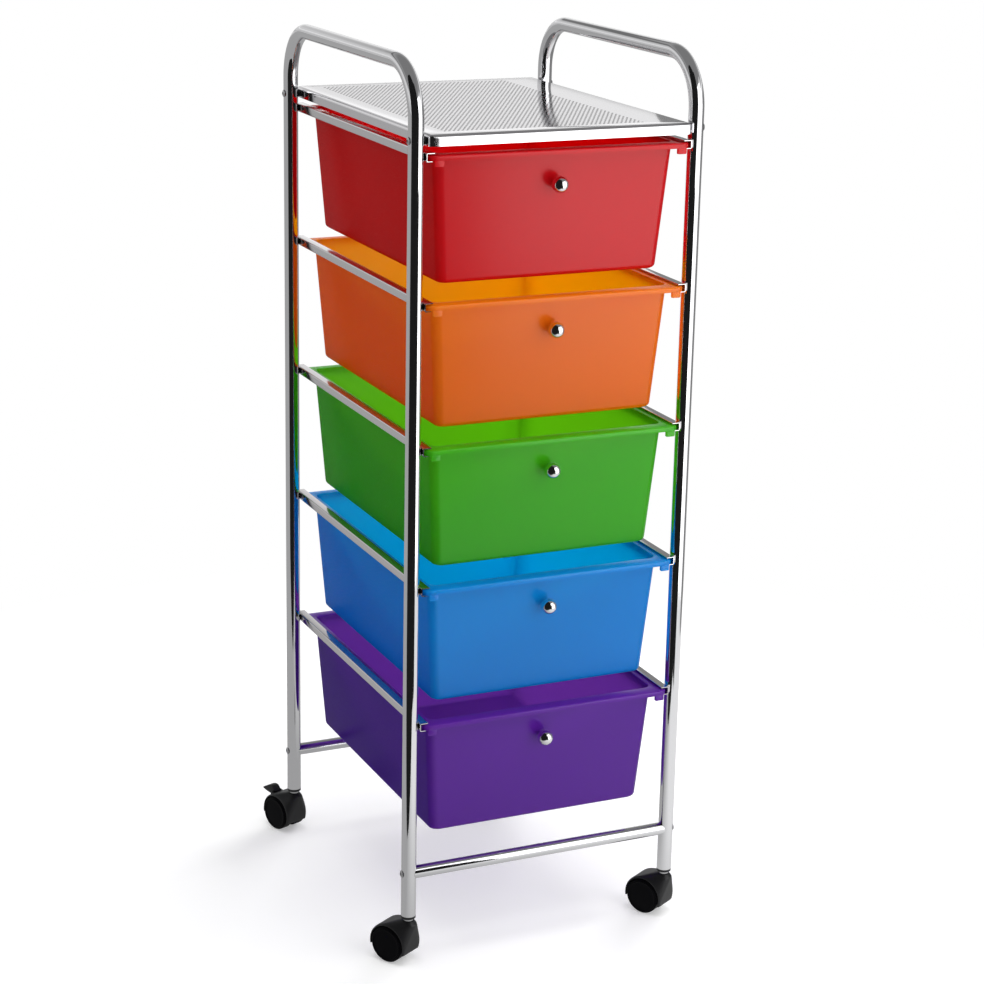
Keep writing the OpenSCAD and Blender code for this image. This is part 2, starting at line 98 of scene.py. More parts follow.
class Blank:
    """One mesh on the bench, shaped with Blender's own tools."""

    def __init__(self, obj: bpy.types.Object, name: str) -> None:
        """Takes an object onto the bench.

        Args:
            obj: The mesh object.
            name: The name that it gets.
        """
        self.obj = obj
        obj.name = obj.data.name = name

    @classmethod
    def start(cls, name: str, add: Callable[..., set[str]], **settings: object) -> "Blank":
        """Adds a primitive at its size and place.

        Args:
            name: Name of the new mesh.
            add: The operator that adds the primitive.
            settings: Its size, place and number of sides.

        Returns:
            The primitive, on the bench.
        """
        cls.clear()
        add(**settings)
        bpy.ops.object.transform_apply(location=True, rotation=True, scale=True)
        return cls(bpy.context.object, name)

    @staticmethod
    def clear() -> None:
        """Leaves edit mode and deselects everything."""
        if bpy.context.mode != "OBJECT":
            bpy.ops.object.mode_set(mode="OBJECT")
        bpy.ops.object.select_all(action="DESELECT")

    def close(self) -> "Blank":
        """Leaves edit mode with only this mesh selected."""
        self.clear()
        self.obj.select_set(True)
        bpy.context.view_layer.objects.active = self.obj
        return self

    def open(self) -> "Blank":
        """Opens this mesh in edit mode."""
        if bpy.context.mode != "EDIT_MESH" or bpy.context.object != self.obj:
            self.close()
            bpy.ops.object.mode_set(mode="EDIT")
        return self

    def everything(self) -> "Blank":
        """Selects the whole mesh in edit mode."""
        self.open()
        bpy.ops.mesh.select_mode(type="VERT")
        bpy.ops.mesh.select_all(action="SELECT")
        return self

    def pick(self, part: Part, test: Test, border: bool = False) -> "Blank":
        """Selects what passes a test, and nothing else.

        Args:
            part: Whether vertices, edges or faces are picked.
            test: Gets an element's middle, and its normal or, for an edge, its direction.
            border: Whether only open edges can pass.

        Returns:
            This blank, in edit mode.
        """
        self.open()
        bpy.ops.mesh.select_mode(type=part.value)
        bpy.ops.mesh.select_all(action="DESELECT")
        mesh = bmesh.from_edit_mesh(self.obj.data)
        if part is Part.VERTICES:
            for vertex in mesh.verts:
                vertex.select = test(vertex.co, vertex.normal)
        elif part is Part.EDGES:
            for edge in mesh.edges:
                start, end = (vertex.co for vertex in edge.verts)
                allowed = edge.is_boundary or edge.is_wire or not border
                edge.select = allowed and test((start + end) / 2, (end - start).normalized())
        else:
            for face in mesh.faces:
                face.select = test(face.calc_center_median(), face.normal)
        mesh.select_flush_mode()
        bmesh.update_edit_mesh(self.obj.data)
        return self

    def pick_border(self, test: Test) -> "Blank":
        """Selects the open edges that pass a test on their middle and direction."""
        return self.pick(Part.EDGES, test, True)

    def pull(self, x: float = 0.0, y: float = 0.0, z: float = 0.0) -> "Blank":
        """Extrudes the selection and moves it."""
        bpy.ops.mesh.extrude_region_move(TRANSFORM_OT_translate={"value": (x, y, z)})
        return self

    def fit(self, factors: tuple[float, float, float], middle: Sequence[float]) -> "Blank":
        """Scales the selection about a point."""
        bpy.ops.transform.resize(value=factors, center_override=tuple(middle))
        return self

    def bevel(self, width: float, steps: int, corners: bool = False) -> "Blank":
        """Rounds the selected edges, or the selected corner points of a flat face."""
        bpy.ops.mesh.bevel(
            offset=width, segments=steps, affect="VERTICES" if corners else "EDGES", clamp_overlap=False
        )
        return self

    def outward(self) -> "Blank":
        """Merges doubles and turns the faces outwards."""
        self.everything()
        bpy.ops.mesh.remove_doubles(threshold=0.002 * MM)
        bpy.ops.mesh.normals_make_consistent(inside=False)
        return self

    def facing(self, test: Test) -> "Blank":
        """Turns an open sheet round unless the faces at a place point the right way.

        Args:
            test: Gets a face's middle and normal, and passes faces that point the wrong way.

        Returns:
            This blank, in edit mode.
        """
        self.outward().pick(Part.FACES, test)
        if any(face.select for face in bmesh.from_edit_mesh(self.obj.data).faces):
            self.everything()
            bpy.ops.mesh.flip_normals()
        return self

    def modify(self, kind: str, **settings: object) -> "Blank":
        """Adds a modifier and applies it.

        Args:
            kind: The modifier's type.
            settings: Its properties.

        Returns:
            This blank, in object mode.
        """
        self.close()
        modifier = self.obj.modifiers.new(kind.lower(), kind)
        for key, value in settings.items():
            setattr(modifier, key, value)
        bpy.ops.object.modifier_apply(modifier=modifier.name)
        return self

    def repeat(self, count: int, step: tuple[float, float, float]) -> "Blank":
        """Repeats the mesh at a step, with the points that meet merged."""
        return self.modify(
            "ARRAY", count=count, use_relative_offset=False, use_constant_offset=True,
            constant_offset_displace=step, use_merge_vertices=True, merge_threshold=0.02 * MM,
        )

    def ease(self, width: float, steps: int = 2, angle: float = 40.0) -> "Blank":
        """Breaks every edge sharper than an angle."""
        return self.modify(
            "BEVEL", width=width, segments=steps, limit_method="ANGLE", angle_limit=math.radians(angle),
            use_clamp_overlap=True,
        )

    def cut(self, *tools: "Blank") -> "Blank":
        """Takes other meshes away from this one and removes them."""
        for tool in tools:
            self.modify("BOOLEAN", operation="DIFFERENCE", solver="EXACT", object=tool.obj)
            bpy.data.objects.remove(tool.obj)
        return self

    def add(self, *others: "Blank") -> "Blank":
        """Joins other meshes into this one, without merging them."""
        self.close()
        for other in others:
            other.obj.select_set(True)
        bpy.ops.object.join()
        return self

    def place(self, matrix: Matrix) -> "Blank":
        """Moves the mesh to its place and leaves the object at the origin."""
        self.close()
        self.obj.matrix_world = matrix
        bpy.ops.object.transform_apply(location=True, rotation=True, scale=True)
        return self

    def copy(self, name: str, matrix: Matrix = Matrix.Identity(4)) -> "Blank":
        """Makes a copy with its own mesh, at its own place."""
        twin = self.obj.copy()
        twin.data = self.obj.data.copy()
        bpy.context.scene.collection.objects.link(twin)
        return Blank(twin, name).place(matrix)

    def smooth(self, angle: float = 32.0) -> "Blank":
        """Shades the mesh smooth, with edges sharper than an angle kept."""
        self.close()
        bpy.ops.object.shade_smooth_by_angle(angle=math.radians(angle))
        return self

    def finish(self, material: bpy.types.Material, slot: str, body: str, *nodes: str) -> bpy.types.Object:
        """Gives the piece its finish and hangs it on its body.

        Args:
            material: Its material.
            slot: The record's material slot; not used.
            body: The body that it rides on.
            nodes: The nodes that it stands for.

        Returns:
            The finished piece.
        """
        self.clear()
        self.obj.data.materials.clear()
        self.obj.data.materials.append(material)
        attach(self.obj, body)
        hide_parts(*nodes)
        return self.obj


def turned(name: str, outline: Outline, sides: int = 48, ring: bool = False) -> Blank:
    """Turns an outline about Z, as on a lathe.

    Args:
        name: Name of the new mesh.
        outline: Radius and height of each point, from the bottom or the inside outwards.
        sides: Number of sides of the circle.
        ring: Whether the last point joins the first, as on a ring with a bore.

    Returns:
        The closed mesh, standing on the origin.
    """
    radius, height = outline[0]
    made = Blank.start(
        name, bpy.ops.mesh.primitive_circle_add, vertices=sides, radius=radius,
        fill_type="NOTHING" if ring else "NGON", location=(0.0, 0.0, height),
    )
    made.everything()
    bpy.ops.mesh.select_mode(type="EDGE")
    if not ring:
        made.pick(Part.EDGES, lambda middle, way: True)
    for next_radius, next_height in [*outline[1:], *(outline[:1] if ring else [])]:
        bpy.ops.mesh.extrude_edges_move(TRANSFORM_OT_translate={"value": (0.0, 0.0, next_height - height)})
        made.fit((next_radius / radius, next_radius / radius, 1.0), (0.0, 0.0, next_height))
        radius, height = next_radius, next_height
    if not ring:
        bpy.ops.mesh.edge_face_add()
    return made.outward()


def round_off(
    middle: tuple[float, float], radius: float, start: float, end: float, steps: int
) -> list[tuple[float, float]]:
    """Points of an arc in an outline.

    Args:
        middle: Radius and height of the arc's centre.
        radius: Radius of the arc.
        start: First angle in degrees, from the outward direction.
        end: Last angle.
        steps: Number of straight pieces.

    Returns:
        The arc's points, ends included.
    """
    turns = [math.radians(start + (end - start) * step / steps) for step in range(steps + 1)]
    return [(middle[0] + radius * math.cos(turn), middle[1] + radius * math.sin(turn)) for turn in turns]


def lying(place: Sequence[float], direction: Vector) -> Matrix:
    """The move that lays a shape drawn along Z along another direction, at a place."""
    turn = UP.rotation_difference(direction).to_matrix().to_4x4()
    return Matrix.Translation(place) @ turn


# Shader tools ---------------------------------------------------------------------


class Value:
    """A number in a shader, whose arithmetic is written as Python."""

    def __init__(self, socket: bpy.types.NodeSocket) -> None:
        """Wraps an output socket."""
        self.socket = socket

    def math(self, operation: str, first: "Value | float", second: "Value | float" = 0.0) -> "Value":
        """Adds one Math node.

        Args:
            operation: The node's operation.
            first: Its first value.
            second: Its second value.

        Returns:
            The node's output.
        """
        tree = self.socket.id_data
        node = tree.nodes.new("ShaderNodeMath")
        node.operation = operation
        for entry, number in zip(node.inputs, (first, second)):
            if isinstance(number, Value):
                tree.links.new(number.socket, entry)
            else:
                entry.default_value = number
        return Value(node.outputs[0])

    def __add__(self, other: "Value | float") -> "Value":
        """The sum."""
        return self.math("ADD", self, other)

    def __radd__(self, other: float) -> "Value":
        """The sum, reflected."""
        return self.math("ADD", other, self)

    def __sub__(self, other: "Value | float") -> "Value":
        """The difference."""
        return self.math("SUBTRACT", self, other)

    def __rsub__(self, other: float) -> "Value":
        """The difference, reflected."""
        return self.math("SUBTRACT", other, self)

    def __mul__(self, other: "Value | float") -> "Value":
        """The product."""
        return self.math("MULTIPLY", self, other)

    def __rmul__(self, other: float) -> "Value":
        """The product, reflected."""
        return self.math("MULTIPLY", other, self)

    def __truediv__(self, other: "Value | float") -> "Value":
        """The quotient."""
        return self.math("DIVIDE", self, other)

    def held(self) -> "Value":
        """The number held between 0 and 1."""
        result = self.math("ADD", self, 0.0)
        result.socket.node.use_clamp = True
        return result


class Graph:
    """The nodes of one material or of the world."""

    def __init__(self, owner: bpy.types.Material | bpy.types.World) -> None:
        """Empties the owner's node tree."""
        owner.use_nodes = True
        self.tree = owner.node_tree
        self.tree.nodes.clear()

    @classmethod
    def material(cls, name: str) -> tuple["Graph", bpy.types.Material]:
        """Makes a material and its empty graph."""
        made = bpy.data.materials.new(name)
        return cls(made), made

    def node(
        self, kind: str, settings: dict[str, object] | None = None,
        inputs: dict[str | int, object] | None = None,
    ) -> bpy.types.Node:
        """Adds one node.

        Args:
            kind: The node's type, without the words before it that all share.
            settings: Its properties.
            inputs: A value, a Value, a socket or a node for each socket, by name or number.

        Returns:
            The node.
        """
        made = self.tree.nodes.new("ShaderNode" + kind)
        for key, value in (settings or {}).items():
            setattr(made, key, value)
        for key, value in (inputs or {}).items():
            if isinstance(value, Value):
                value = value.socket
            elif isinstance(value, bpy.types.Node):
                value = value.outputs[0]
            if isinstance(value, bpy.types.NodeSocket):
                self.tree.links.new(value, made.inputs[key])
            else:
                made.inputs[key].default_value = value
        return made

    def place(self, stretch: tuple[float, float, float] = (1.0, 1.0, 1.0)) -> bpy.types.Node:
        """The object's own coordinates in metres, stretched along the axes."""
        source = self.node("TexCoord").outputs["Object"]
        return self.node("Mapping", inputs={"Vector": source, "Scale": stretch})

    def noise(self, where: bpy.types.Node, per_metre: float, detail: float = 2.0) -> Value:
        """A noise from 0 to 1 with so many features to the metre."""
        settings = {"Vector": where, "Scale": per_metre, "Detail": detail, "Roughness": 0.55}
        return Value(self.node("TexNoise", inputs=settings).outputs[0])

    def shade(self, dark: Sequence[float], light: Sequence[float], factor: Value) -> bpy.types.NodeSocket:
        """A colour between two others."""
        ends = {"Factor": factor, "A": (*dark, 1.0), "B": (*light, 1.0)}
        return self.node("Mix", {"data_type": "RGBA"}, ends).outputs["Result"]

    def relief(self, height: Value, depth: float, strength: float = 1.0) -> bpy.types.Node:
        """A Bump node over a height from 0 to 1, with its depth in metres."""
        return self.node("Bump", inputs={"Height": height, "Distance": depth, "Strength": strength})

    def close(self, shader: bpy.types.Node, kind: str = "OutputMaterial") -> None:
        """Links the last shader to the output."""
        self.node(kind, inputs={"Surface": shader})


def linear(red: int, green: int, blue: int) -> tuple[float, float, float]:
    """A colour of 0 to 255 as the shader's light values."""
    return tuple(
        part / 12.92 / 255 if part <= 10 else ((part / 255 + 0.055) / 1.055) ** 2.4
        for part in (red, green, blue)
    )


# Finishes ---------------------------------------------------------------------------


@dataclass(frozen=True)
class Plate:
    """Bright metal plating: a mirror with a faint haze, wiping marks and slow waves."""

    name: str
    colour: tuple[float, float, float] = (0.80, 0.80, 0.815)
    roughness: float = 0.045
    haze: float = 0.05
    wave: float = 0.02
    stretch: tuple[float, float, float] = (1.0, 1.0, 1.0)
    deepest: float = 0.965
    clouds_per_m: float = 14.0
    marks_per_m: float = 420.0
    waves_per_m: float = 38.0

    def tone(self, graph: Graph, cloud: Value) -> tuple[bpy.types.NodeSocket, Value | float]:
        """The plating's colour, and what dull places add to its roughness."""
        return graph.shade([part * self.deepest for part in self.colour], self.colour, cloud), 0.0

    def material(self) -> bpy.types.Material:
        """Builds the material."""
        graph, made = Graph.material(self.name)
        where = graph.place(self.stretch)
        cloud, marks = graph.noise(where, self.clouds_per_m, 3.0), graph.noise(where, self.marks_per_m)
        tone, dullness = self.tone(graph, cloud)
        waves = graph.noise(where, self.waves_per_m, 1.0)
        shader = graph.node("BsdfPrincipled", inputs={
            "Base Color": tone, "Metallic": 1.0,
            "Roughness": self.roughness + self.haze * cloud * marks + dullness,
            "Normal": graph.relief(waves, self.wave * MM),
        })
        graph.close(shader)
        return made


@dataclass(frozen=True)
class PerforatedPlate(Plate):
    """Bright plating whose punched holes, inside a plain border, have their upright walls painted near black
    as the shade that falls in the holes, and made rougher.
    """

    box: tuple[Sequence[float], Sequence[float]] = ((0.0, 0.0), (0.0, 0.0))
    border: float = 8 * MM
    # Painted shade: the near black colour laid on the upright walls of the holes.
    cut: tuple[float, float, float] = (0.05, 0.045, 0.055)
    cut_roughness: float = 0.4

    def tone(self, graph: Graph, cloud: Value) -> tuple[bpy.types.NodeSocket, Value]:
        """The colour, with the holes' walls painted dark as shade, and what those walls add to the roughness.
        """
        source = graph.node("TexCoord")
        spot = graph.node("SeparateXYZ", inputs={0: source.outputs["Object"]})
        facing = graph.node("SeparateXYZ", inputs={0: source.outputs["Normal"]})
        upright = Value(facing.outputs["Z"])
        # wall is 1 on the upright walls of the holes inside the border, where the painted shade goes.
        wall = (1 - 4 * upright * upright).held()
        low, high = self.box
        for axis in range(2):
            along = Value(spot.outputs[axis])
            wall = wall * ((along - low[axis] - self.border) / MM).held()
            wall = wall * ((high[axis] - self.border - along) / MM).held()
        return graph.shade(self.colour, self.cut, wall), self.cut_roughness * wall


@dataclass(frozen=True)
class ZincSteel:
    """Zinc plated steel: a greyer, softer shine with fine turned grain."""

    name: str
    dark: tuple[float, float, float] = (0.42, 0.42, 0.43)
    light: tuple[float, float, float] = (0.62, 0.62, 0.63)
    roughness: float = 0.24
    stretch: tuple[float, float, float] = (1.0, 1.0, 6.0)
    grain_per_m: float = 900.0
    clouds_per_m: float = 90.0

    def material(self) -> bpy.types.Material:
        """Builds the material."""
        graph, made = Graph.material(self.name)
        grain = graph.noise(graph.place(self.stretch), self.grain_per_m, 3.0)
        cloud = graph.noise(graph.place(), self.clouds_per_m)
        shader = graph.node("BsdfPrincipled", inputs={
            "Base Color": graph.shade(self.dark, self.light, cloud), "Metallic": 1.0,
            "Roughness": self.roughness + 0.14 * grain, "Normal": graph.relief(grain, 0.012 * MM),
        })
        graph.close(shader)
        return made


@dataclass(frozen=True)
class Polypropylene:
    """Tinted plastic that glows through; its front, back and rim are polished, its sides are matt and painted
    a deeper, darker colour as shade.
    """

    name: str
    skin: tuple[int, int, int]
    glow: tuple[int, int, int]
    roughness: float = 0.27
    share: float = 0.5
    polish_ior: float = 1.6
    # The power that darkens the skin colour into the painted shade of the sides.
    depth: float = 1.5
    matt: float = 0.06
    flow_per_m: float = 9.0
    etch_per_m: float = 1500.0
    etch_depth: float = 0.010

    def material(self) -> bpy.types.Material:
        """Builds the material."""
        graph, made = Graph.material(self.name)
        flow = graph.noise(graph.place((1.0, 1.0, 0.35)), self.flow_per_m, 3.0)
        etch = graph.noise(graph.place(), self.etch_per_m)
        skin, glow = linear(*self.skin), linear(*self.glow)
        # Painted shade: deep is the skin colour made darker and more saturated, laid on faces that look along
        # X, the drawers' left and right walls.
        deep = [part ** self.depth for part in skin]
        relief = graph.relief(etch, self.etch_depth * MM)
        facing = graph.node("SeparateXYZ", inputs={0: graph.node("TexCoord").outputs["Normal"]})
        side = Value(facing.outputs["X"]) * Value(facing.outputs["X"])
        surface = graph.node("BsdfPrincipled", inputs={
            "Base Color": graph.shade(deep, skin, (0.9 + 0.1 * flow - side).held()),
            "Roughness": self.roughness - 0.025 + 0.05 * etch,
            "Specular IOR Level": self.matt, "Normal": relief,
            "Coat Weight": (1.05 - 1.2 * side).held(), "Coat Roughness": self.roughness,
            "Coat IOR": self.polish_ior, "Coat Normal": relief,
        })
        through = graph.node("BsdfTranslucent", inputs={"Color": (*glow, 1.0)})
        graph.close(graph.node("MixShader", inputs={0: self.share, 1: surface, 2: through}))
        return made


@dataclass(frozen=True)
class Nylon:
    """Black moulded nylon with a spark-eroded grain and slight wear in its shine."""

    name: str
    dark: tuple[float, float, float] = (0.0065, 0.0065, 0.0075)
    pale: tuple[float, float, float] = (0.011, 0.011, 0.0125)
    roughness: float = 0.36
    grain: float = 0.03
    shine: float = 0.4
    pits_per_m: float = 1300.0
    rubs_per_m: float = 60.0

    def material(self) -> bpy.types.Material:
        """Builds the material."""
        graph, made = Graph.material(self.name)
        where = graph.place()
        pits = graph.noise(where, self.pits_per_m)
        rub = graph.noise(where, self.rubs_per_m, 4.0)
        shader = graph.node("BsdfPrincipled", inputs={
            "Base Color": graph.shade(self.dark, self.pale, rub),
            "Roughness": self.roughness + 0.14 * rub, "Specular IOR Level": self.shine,
            "Normal": graph.relief(pits, self.grain * MM),
        })
        graph.close(shader)
        return made


class Finishes:
    """Every finish of the tower, made once."""

    DRAWERS = {
        1: ("red_plastic", (236, 16, 34), (240, 24, 48)),
        2: ("orange_plastic", (248, 122, 18), (255, 222, 42)),
        3: ("green_plastic", (64, 188, 26), (180, 245, 80)),
        4: ("blue_plastic", (12, 144, 230), (35, 228, 255)),
        5: ("purple_plastic", (110, 32, 176), (184, 128, 220)),
    }

    def __init__(self) -> None:
        """Makes the materials."""
        self.tube = Plate("chrome_tube", stretch=(1.0, 1.0, 0.3)).material()
        self.rail = Plate("chrome_rail", (0.78, 0.765, 0.775), 0.10, 0.08, 0.02, (1.0, 0.3, 1.0)).material()
        self.sheet = PerforatedPlate(
            "bright_sheet", (0.80, 0.79, 0.81), 0.07, 0.06, 0.03, box=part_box("top_tray")
        ).material()
        self.knob = Plate("chrome_knob", (0.82, 0.82, 0.83), 0.04, 0.03, 0.0).material()
        self.steel = ZincSteel("plated_screw").material()
        self.nylon = Nylon("black_nylon").material()
        self.wheel = Nylon(
            "black_wheel", (0.0012, 0.0012, 0.0018), (0.0026, 0.0026, 0.0036), 0.34, 0.02, 0.05
        ).material()
        self.drawers = {tier: Polypropylene(*look).material() for tier, look in self.DRAWERS.items()}


# The tower ----------------------------------------------------------------------------


@dataclass(frozen=True)
class Plan:
    """Where the legs stand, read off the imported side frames."""

    left_x: float
    right_x: float
    front_y: float
    rear_y: float
    tube_r: float
    foot_z: float
    handle_z: float

    @classmethod
    def read(cls) -> "Plan":
        """Reads the legs' places."""
        low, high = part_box("left_side_frame")
        right_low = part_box("right_side_frame")[0]
        tube_r = (high.x - low.x) / 2
        return cls(
            low.x + tube_r, right_low.x + tube_r, low.y + tube_r, high.y - tube_r,
            tube_r, low.z, high.z - tube_r,
        )

    @property
    def middle(self) -> tuple[float, float]:
        """The middle between the four legs."""
        return (self.left_x + self.right_x) / 2, (self.front_y + self.rear_y) / 2

    def leg_x(self, side: Side) -> float:
        """X of a side's legs."""
        return self.left_x if side is Side.LEFT else self.right_x


@dataclass
class SideFrames:
    """The two bent tubes that make the legs and the push handles."""

    bend_r: float = 54 * MM
    wall: float = 1 * MM
    sides: int = 48
    bend_steps: int = 24

    def tube(self, plan: Plan, side: Side) -> Blank:
        """Bends one tube: up the front leg, over the handle and down the rear leg."""
        x, bend_z = plan.leg_x(side), plan.handle_z - self.bend_r
        made = Blank.start(
            f"{side.name.lower()}_tube", bpy.ops.mesh.primitive_circle_add, vertices=self.sides,
            radius=plan.tube_r, fill_type="NOTHING", location=(x, plan.front_y, plan.foot_z),
        )
        made.everything().pull(z=bend_z - plan.foot_z)
        self.bend(x, plan.front_y + self.bend_r, bend_z)
        made.pull(y=plan.rear_y - plan.front_y - 2 * self.bend_r)
        self.bend(x, plan.rear_y - self.bend_r, bend_z)
        made.pull(z=plan.foot_z - bend_z)
        made.pick_border(lambda middle, way: True)
        bpy.ops.mesh.fill_holes(sides=self.sides)
        made.outward().pick(
            Part.FACES, lambda middle, normal: middle.z < plan.foot_z + MM and abs(normal.z) > 0.9
        )
        bpy.ops.mesh.delete(type="ONLY_FACE")
        return made.modify("SOLIDIFY", thickness=self.wall, offset=-1.0).smooth()

    def bend(self, x: float, y: float, z: float) -> None:
        """Sweeps the open end of the tube a quarter turn round a point."""
        bpy.ops.mesh.spin(steps=self.bend_steps, angle=math.pi / 2, center=(x, y, z), axis=tuple(X_AXIS))

    def build(self, plan: Plan, finishes: Finishes) -> list[bpy.types.Object]:
        """Builds both side frames."""
        return [
            self.tube(plan, side).finish(
                finishes.tube, "chrome_tube", "frame", f"{side.name.lower()}_side_frame"
            )
            for side in Side
        ]


@dataclass
class CrossTubes:
    """The two low tubes between the side frames, shaped to fit round the legs."""

    sides: int = 48
    gap: float = 0.1 * MM

    def tube(self, plan: Plan, node: str) -> Blank:
        """Makes one tube and shapes its ends."""
        low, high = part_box(node)
        middle = (low + high) / 2
        tube = Blank.start(
            node.replace("cross_tube", "low_tube"), bpy.ops.mesh.primitive_cylinder_add, vertices=self.sides,
            radius=(high.z - low.z) / 2, depth=plan.right_x - plan.left_x, location=middle,
            rotation=(0.0, math.pi / 2, 0.0),
        )
        legs = [
            Blank.start(
                "leg_tool", bpy.ops.mesh.primitive_cylinder_add, vertices=96, radius=plan.tube_r + self.gap,
                depth=4 * (high.z - low.z), location=(plan.leg_x(side), middle.y, middle.z),
            )
            for side in Side
        ]
        return tube.cut(*legs).smooth()

    def build(self, plan: Plan, finishes: Finishes) -> list[bpy.types.Object]:
        """Builds both tubes."""
        return [
            self.tube(plan, node).finish(finishes.tube, "chrome_tube", "frame", node)
            for node in ("front_cross_tube", "rear_cross_tube")
        ]


@dataclass
class Rails:
    """The ten rails: sheet folded to a C that is open towards the drawer."""

    sheet: float = 1 * MM
    fold_r: float = 1.3 * MM
    edge_r: float = 0.2 * MM

    def rail(self, side: Side, tier: int) -> Blank:
        """Folds one rail."""
        low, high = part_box(f"{side.name.lower()}_rail_{tier}")
        inward = -side.value
        web_x = low.x if side is Side.LEFT else high.x
        middle = Vector((web_x, (low.y + high.y) / 2, (low.z + high.z) / 2))
        made = Blank.start(
            f"{side.name.lower()}_runner_{tier}", bpy.ops.mesh.primitive_plane_add, size=1.0, location=middle,
            rotation=(0.0, math.pi / 2, 0.0),
        )
        made.everything().fit((1.0, high.y - low.y, high.z - low.z), middle)
        made.pick(Part.EDGES, lambda place, way: abs(way.y) > 0.9)
        made.pull(x=inward * (high.x - low.x))
        made.pick(Part.EDGES, lambda place, way: abs(way.y) > 0.9 and abs(place.x - web_x) < 0.1 * MM)
        made.bevel(self.fold_r, 4)
        made.facing(lambda place, normal: abs(place.x - web_x) < 0.1 * MM and normal.x * side.value < -0.5)
        return made.modify("SOLIDIFY", thickness=self.sheet, offset=-1.0).ease(self.edge_r, 1).smooth()

    def build(self, finishes: Finishes) -> list[bpy.types.Object]:
        """Builds the rails of both sides."""
        return [
            self.rail(side, tier).finish(
                finishes.rail, "chrome_rail", "frame", f"{side.name.lower()}_rail_{tier}"
            )
            for side in Side
            for tier in TIERS
        ]


@dataclass
class Tray:
    """The folded top tray, perforated inside plain margins."""

    sheet: float = 1 * MM
    fold_r: float = 4 * MM
    corner_r: float = 4.5 * MM
    hole_r: float = 1.22 * MM
    pitch: float = 4.85 * MM
    columns: int = 46
    row_pairs: int = 41
    left_margin: float = 21.5 * MM
    front_margin: float = 18.5 * MM

    @property
    def row_step(self) -> float:
        """Distance between rows of holes that stand staggered at 60 degrees."""
        return self.pitch * math.sin(math.radians(60.0))

    def cell(self, height: float) -> Blank:
        """One hole in its own piece of sheet, with a point at each corner and in the middle of each edge."""
        middle = (self.pitch / 2, self.row_step / 2, height)
        made = Blank.start(
            "perforated_tray", bpy.ops.mesh.primitive_circle_add, vertices=8, radius=self.hole_r,
            fill_type="NOTHING", location=middle,
        )
        made.everything()
        bpy.ops.mesh.extrude_edges_move(TRANSFORM_OT_translate={"value": (0.0, 0.0, 0.0)})
        slant = math.sqrt(0.5)
        reach = self.hole_r * slant
        made.fit((self.pitch / 2 / reach, self.row_step / 2 / reach, 1.0), middle)
        made.pick(Part.VERTICES, lambda place, normal: abs(place.x - middle[0]) > 0.6 * self.pitch)
        made.fit((slant, 1.0, 1.0), middle)
        made.pick(Part.VERTICES, lambda place, normal: abs(place.y - middle[1]) > 0.6 * self.row_step)
        made.fit((1.0, slant, 1.0), middle)
        return made

    def row(self, count: int, height: float) -> Blank:
        """A row of cells, merged side by side."""
        return self.cell(height).repeat(count, (self.pitch, 0.0, 0.0))

    def sheet_with_holes(self, low: Vector, high: Vector) -> Blank:
        """Repeats two staggered rows over the field and draws the plain margins round it."""
        near, half = 0.1 * MM, self.pitch / 2
        made, shifted = self.row(self.columns, high.z), self.row(self.columns - 1, high.z)
        shifted.place(Matrix.Translation((half, self.row_step, 0.0)))
        end = self.columns * self.pitch - half
        shifted.pick_border(lambda place, way: abs(place.x - half) < near).pull(x=-half)
        shifted.pick_border(lambda place, way: abs(place.x - end) < near).pull(x=half)
        made.add(shifted).outward()
        made.repeat(self.row_pairs, (0.0, 2 * self.row_step, 0.0))
        field_x, field_y = low.x + self.left_margin, low.y + self.front_margin
        made.place(Matrix.Translation((field_x, field_y, 0.0)))
        end_x, end_y = field_x + self.columns * self.pitch, field_y + 2 * self.row_pairs * self.row_step
        made.pick_border(lambda place, way: abs(place.x - field_x) < near).pull(x=low.x - field_x)
        made.pick_border(lambda place, way: abs(place.x - end_x) < near).pull(x=high.x - end_x)
        made.pick_border(lambda place, way: abs(place.y - field_y) < near).pull(y=low.y - field_y)
        made.pick_border(lambda place, way: abs(place.y - end_y) < near).pull(y=high.y - end_y)
        return made

    def tray(self) -> Blank:
        """Folds the sheet's edges down and gives it its thickness."""
        low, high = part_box("top_tray")
        made = self.sheet_with_holes(low, high)
        near = 0.1 * MM

        def inset(place: Vector) -> tuple[float, float]:
            """How far a place stands inside the outline of the plan, across and along."""
            return min(place.x - low.x, high.x - place.x), min(place.y - low.y, high.y - place.y)

        made.pick_border(lambda place, way: min(inset(place)) < near).pull(z=low.z - high.z)
        made.pick(Part.EDGES, lambda place, way: abs(way.z) > 0.9 and max(inset(place)) < near)
        made.bevel(self.corner_r, 5)

        def on_fold(place: Vector, way: Vector) -> bool:
            """Whether an edge follows the outline at the top."""
            across, along = inset(place)
            follows = abs(way.x) > 0.99 if along < near else across < near and abs(way.y) > 0.99
            return place.z > high.z - near and (max(across, along) < self.corner_r + near or follows)

        made.pick(Part.EDGES, on_fold)
        made.bevel(self.fold_r, 5)
        made.facing(lambda place, normal: place.z > high.z - near and normal.z < -0.5)
        return made.modify("SOLIDIFY", thickness=self.sheet, offset=-1.0, use_even_offset=True).smooth(35.0)

    def build(self, finishes: Finishes) -> list[bpy.types.Object]:
        """Builds the tray."""
        return [self.tray().finish(finishes.sheet, "bright_sheet", "frame", "top_tray")]


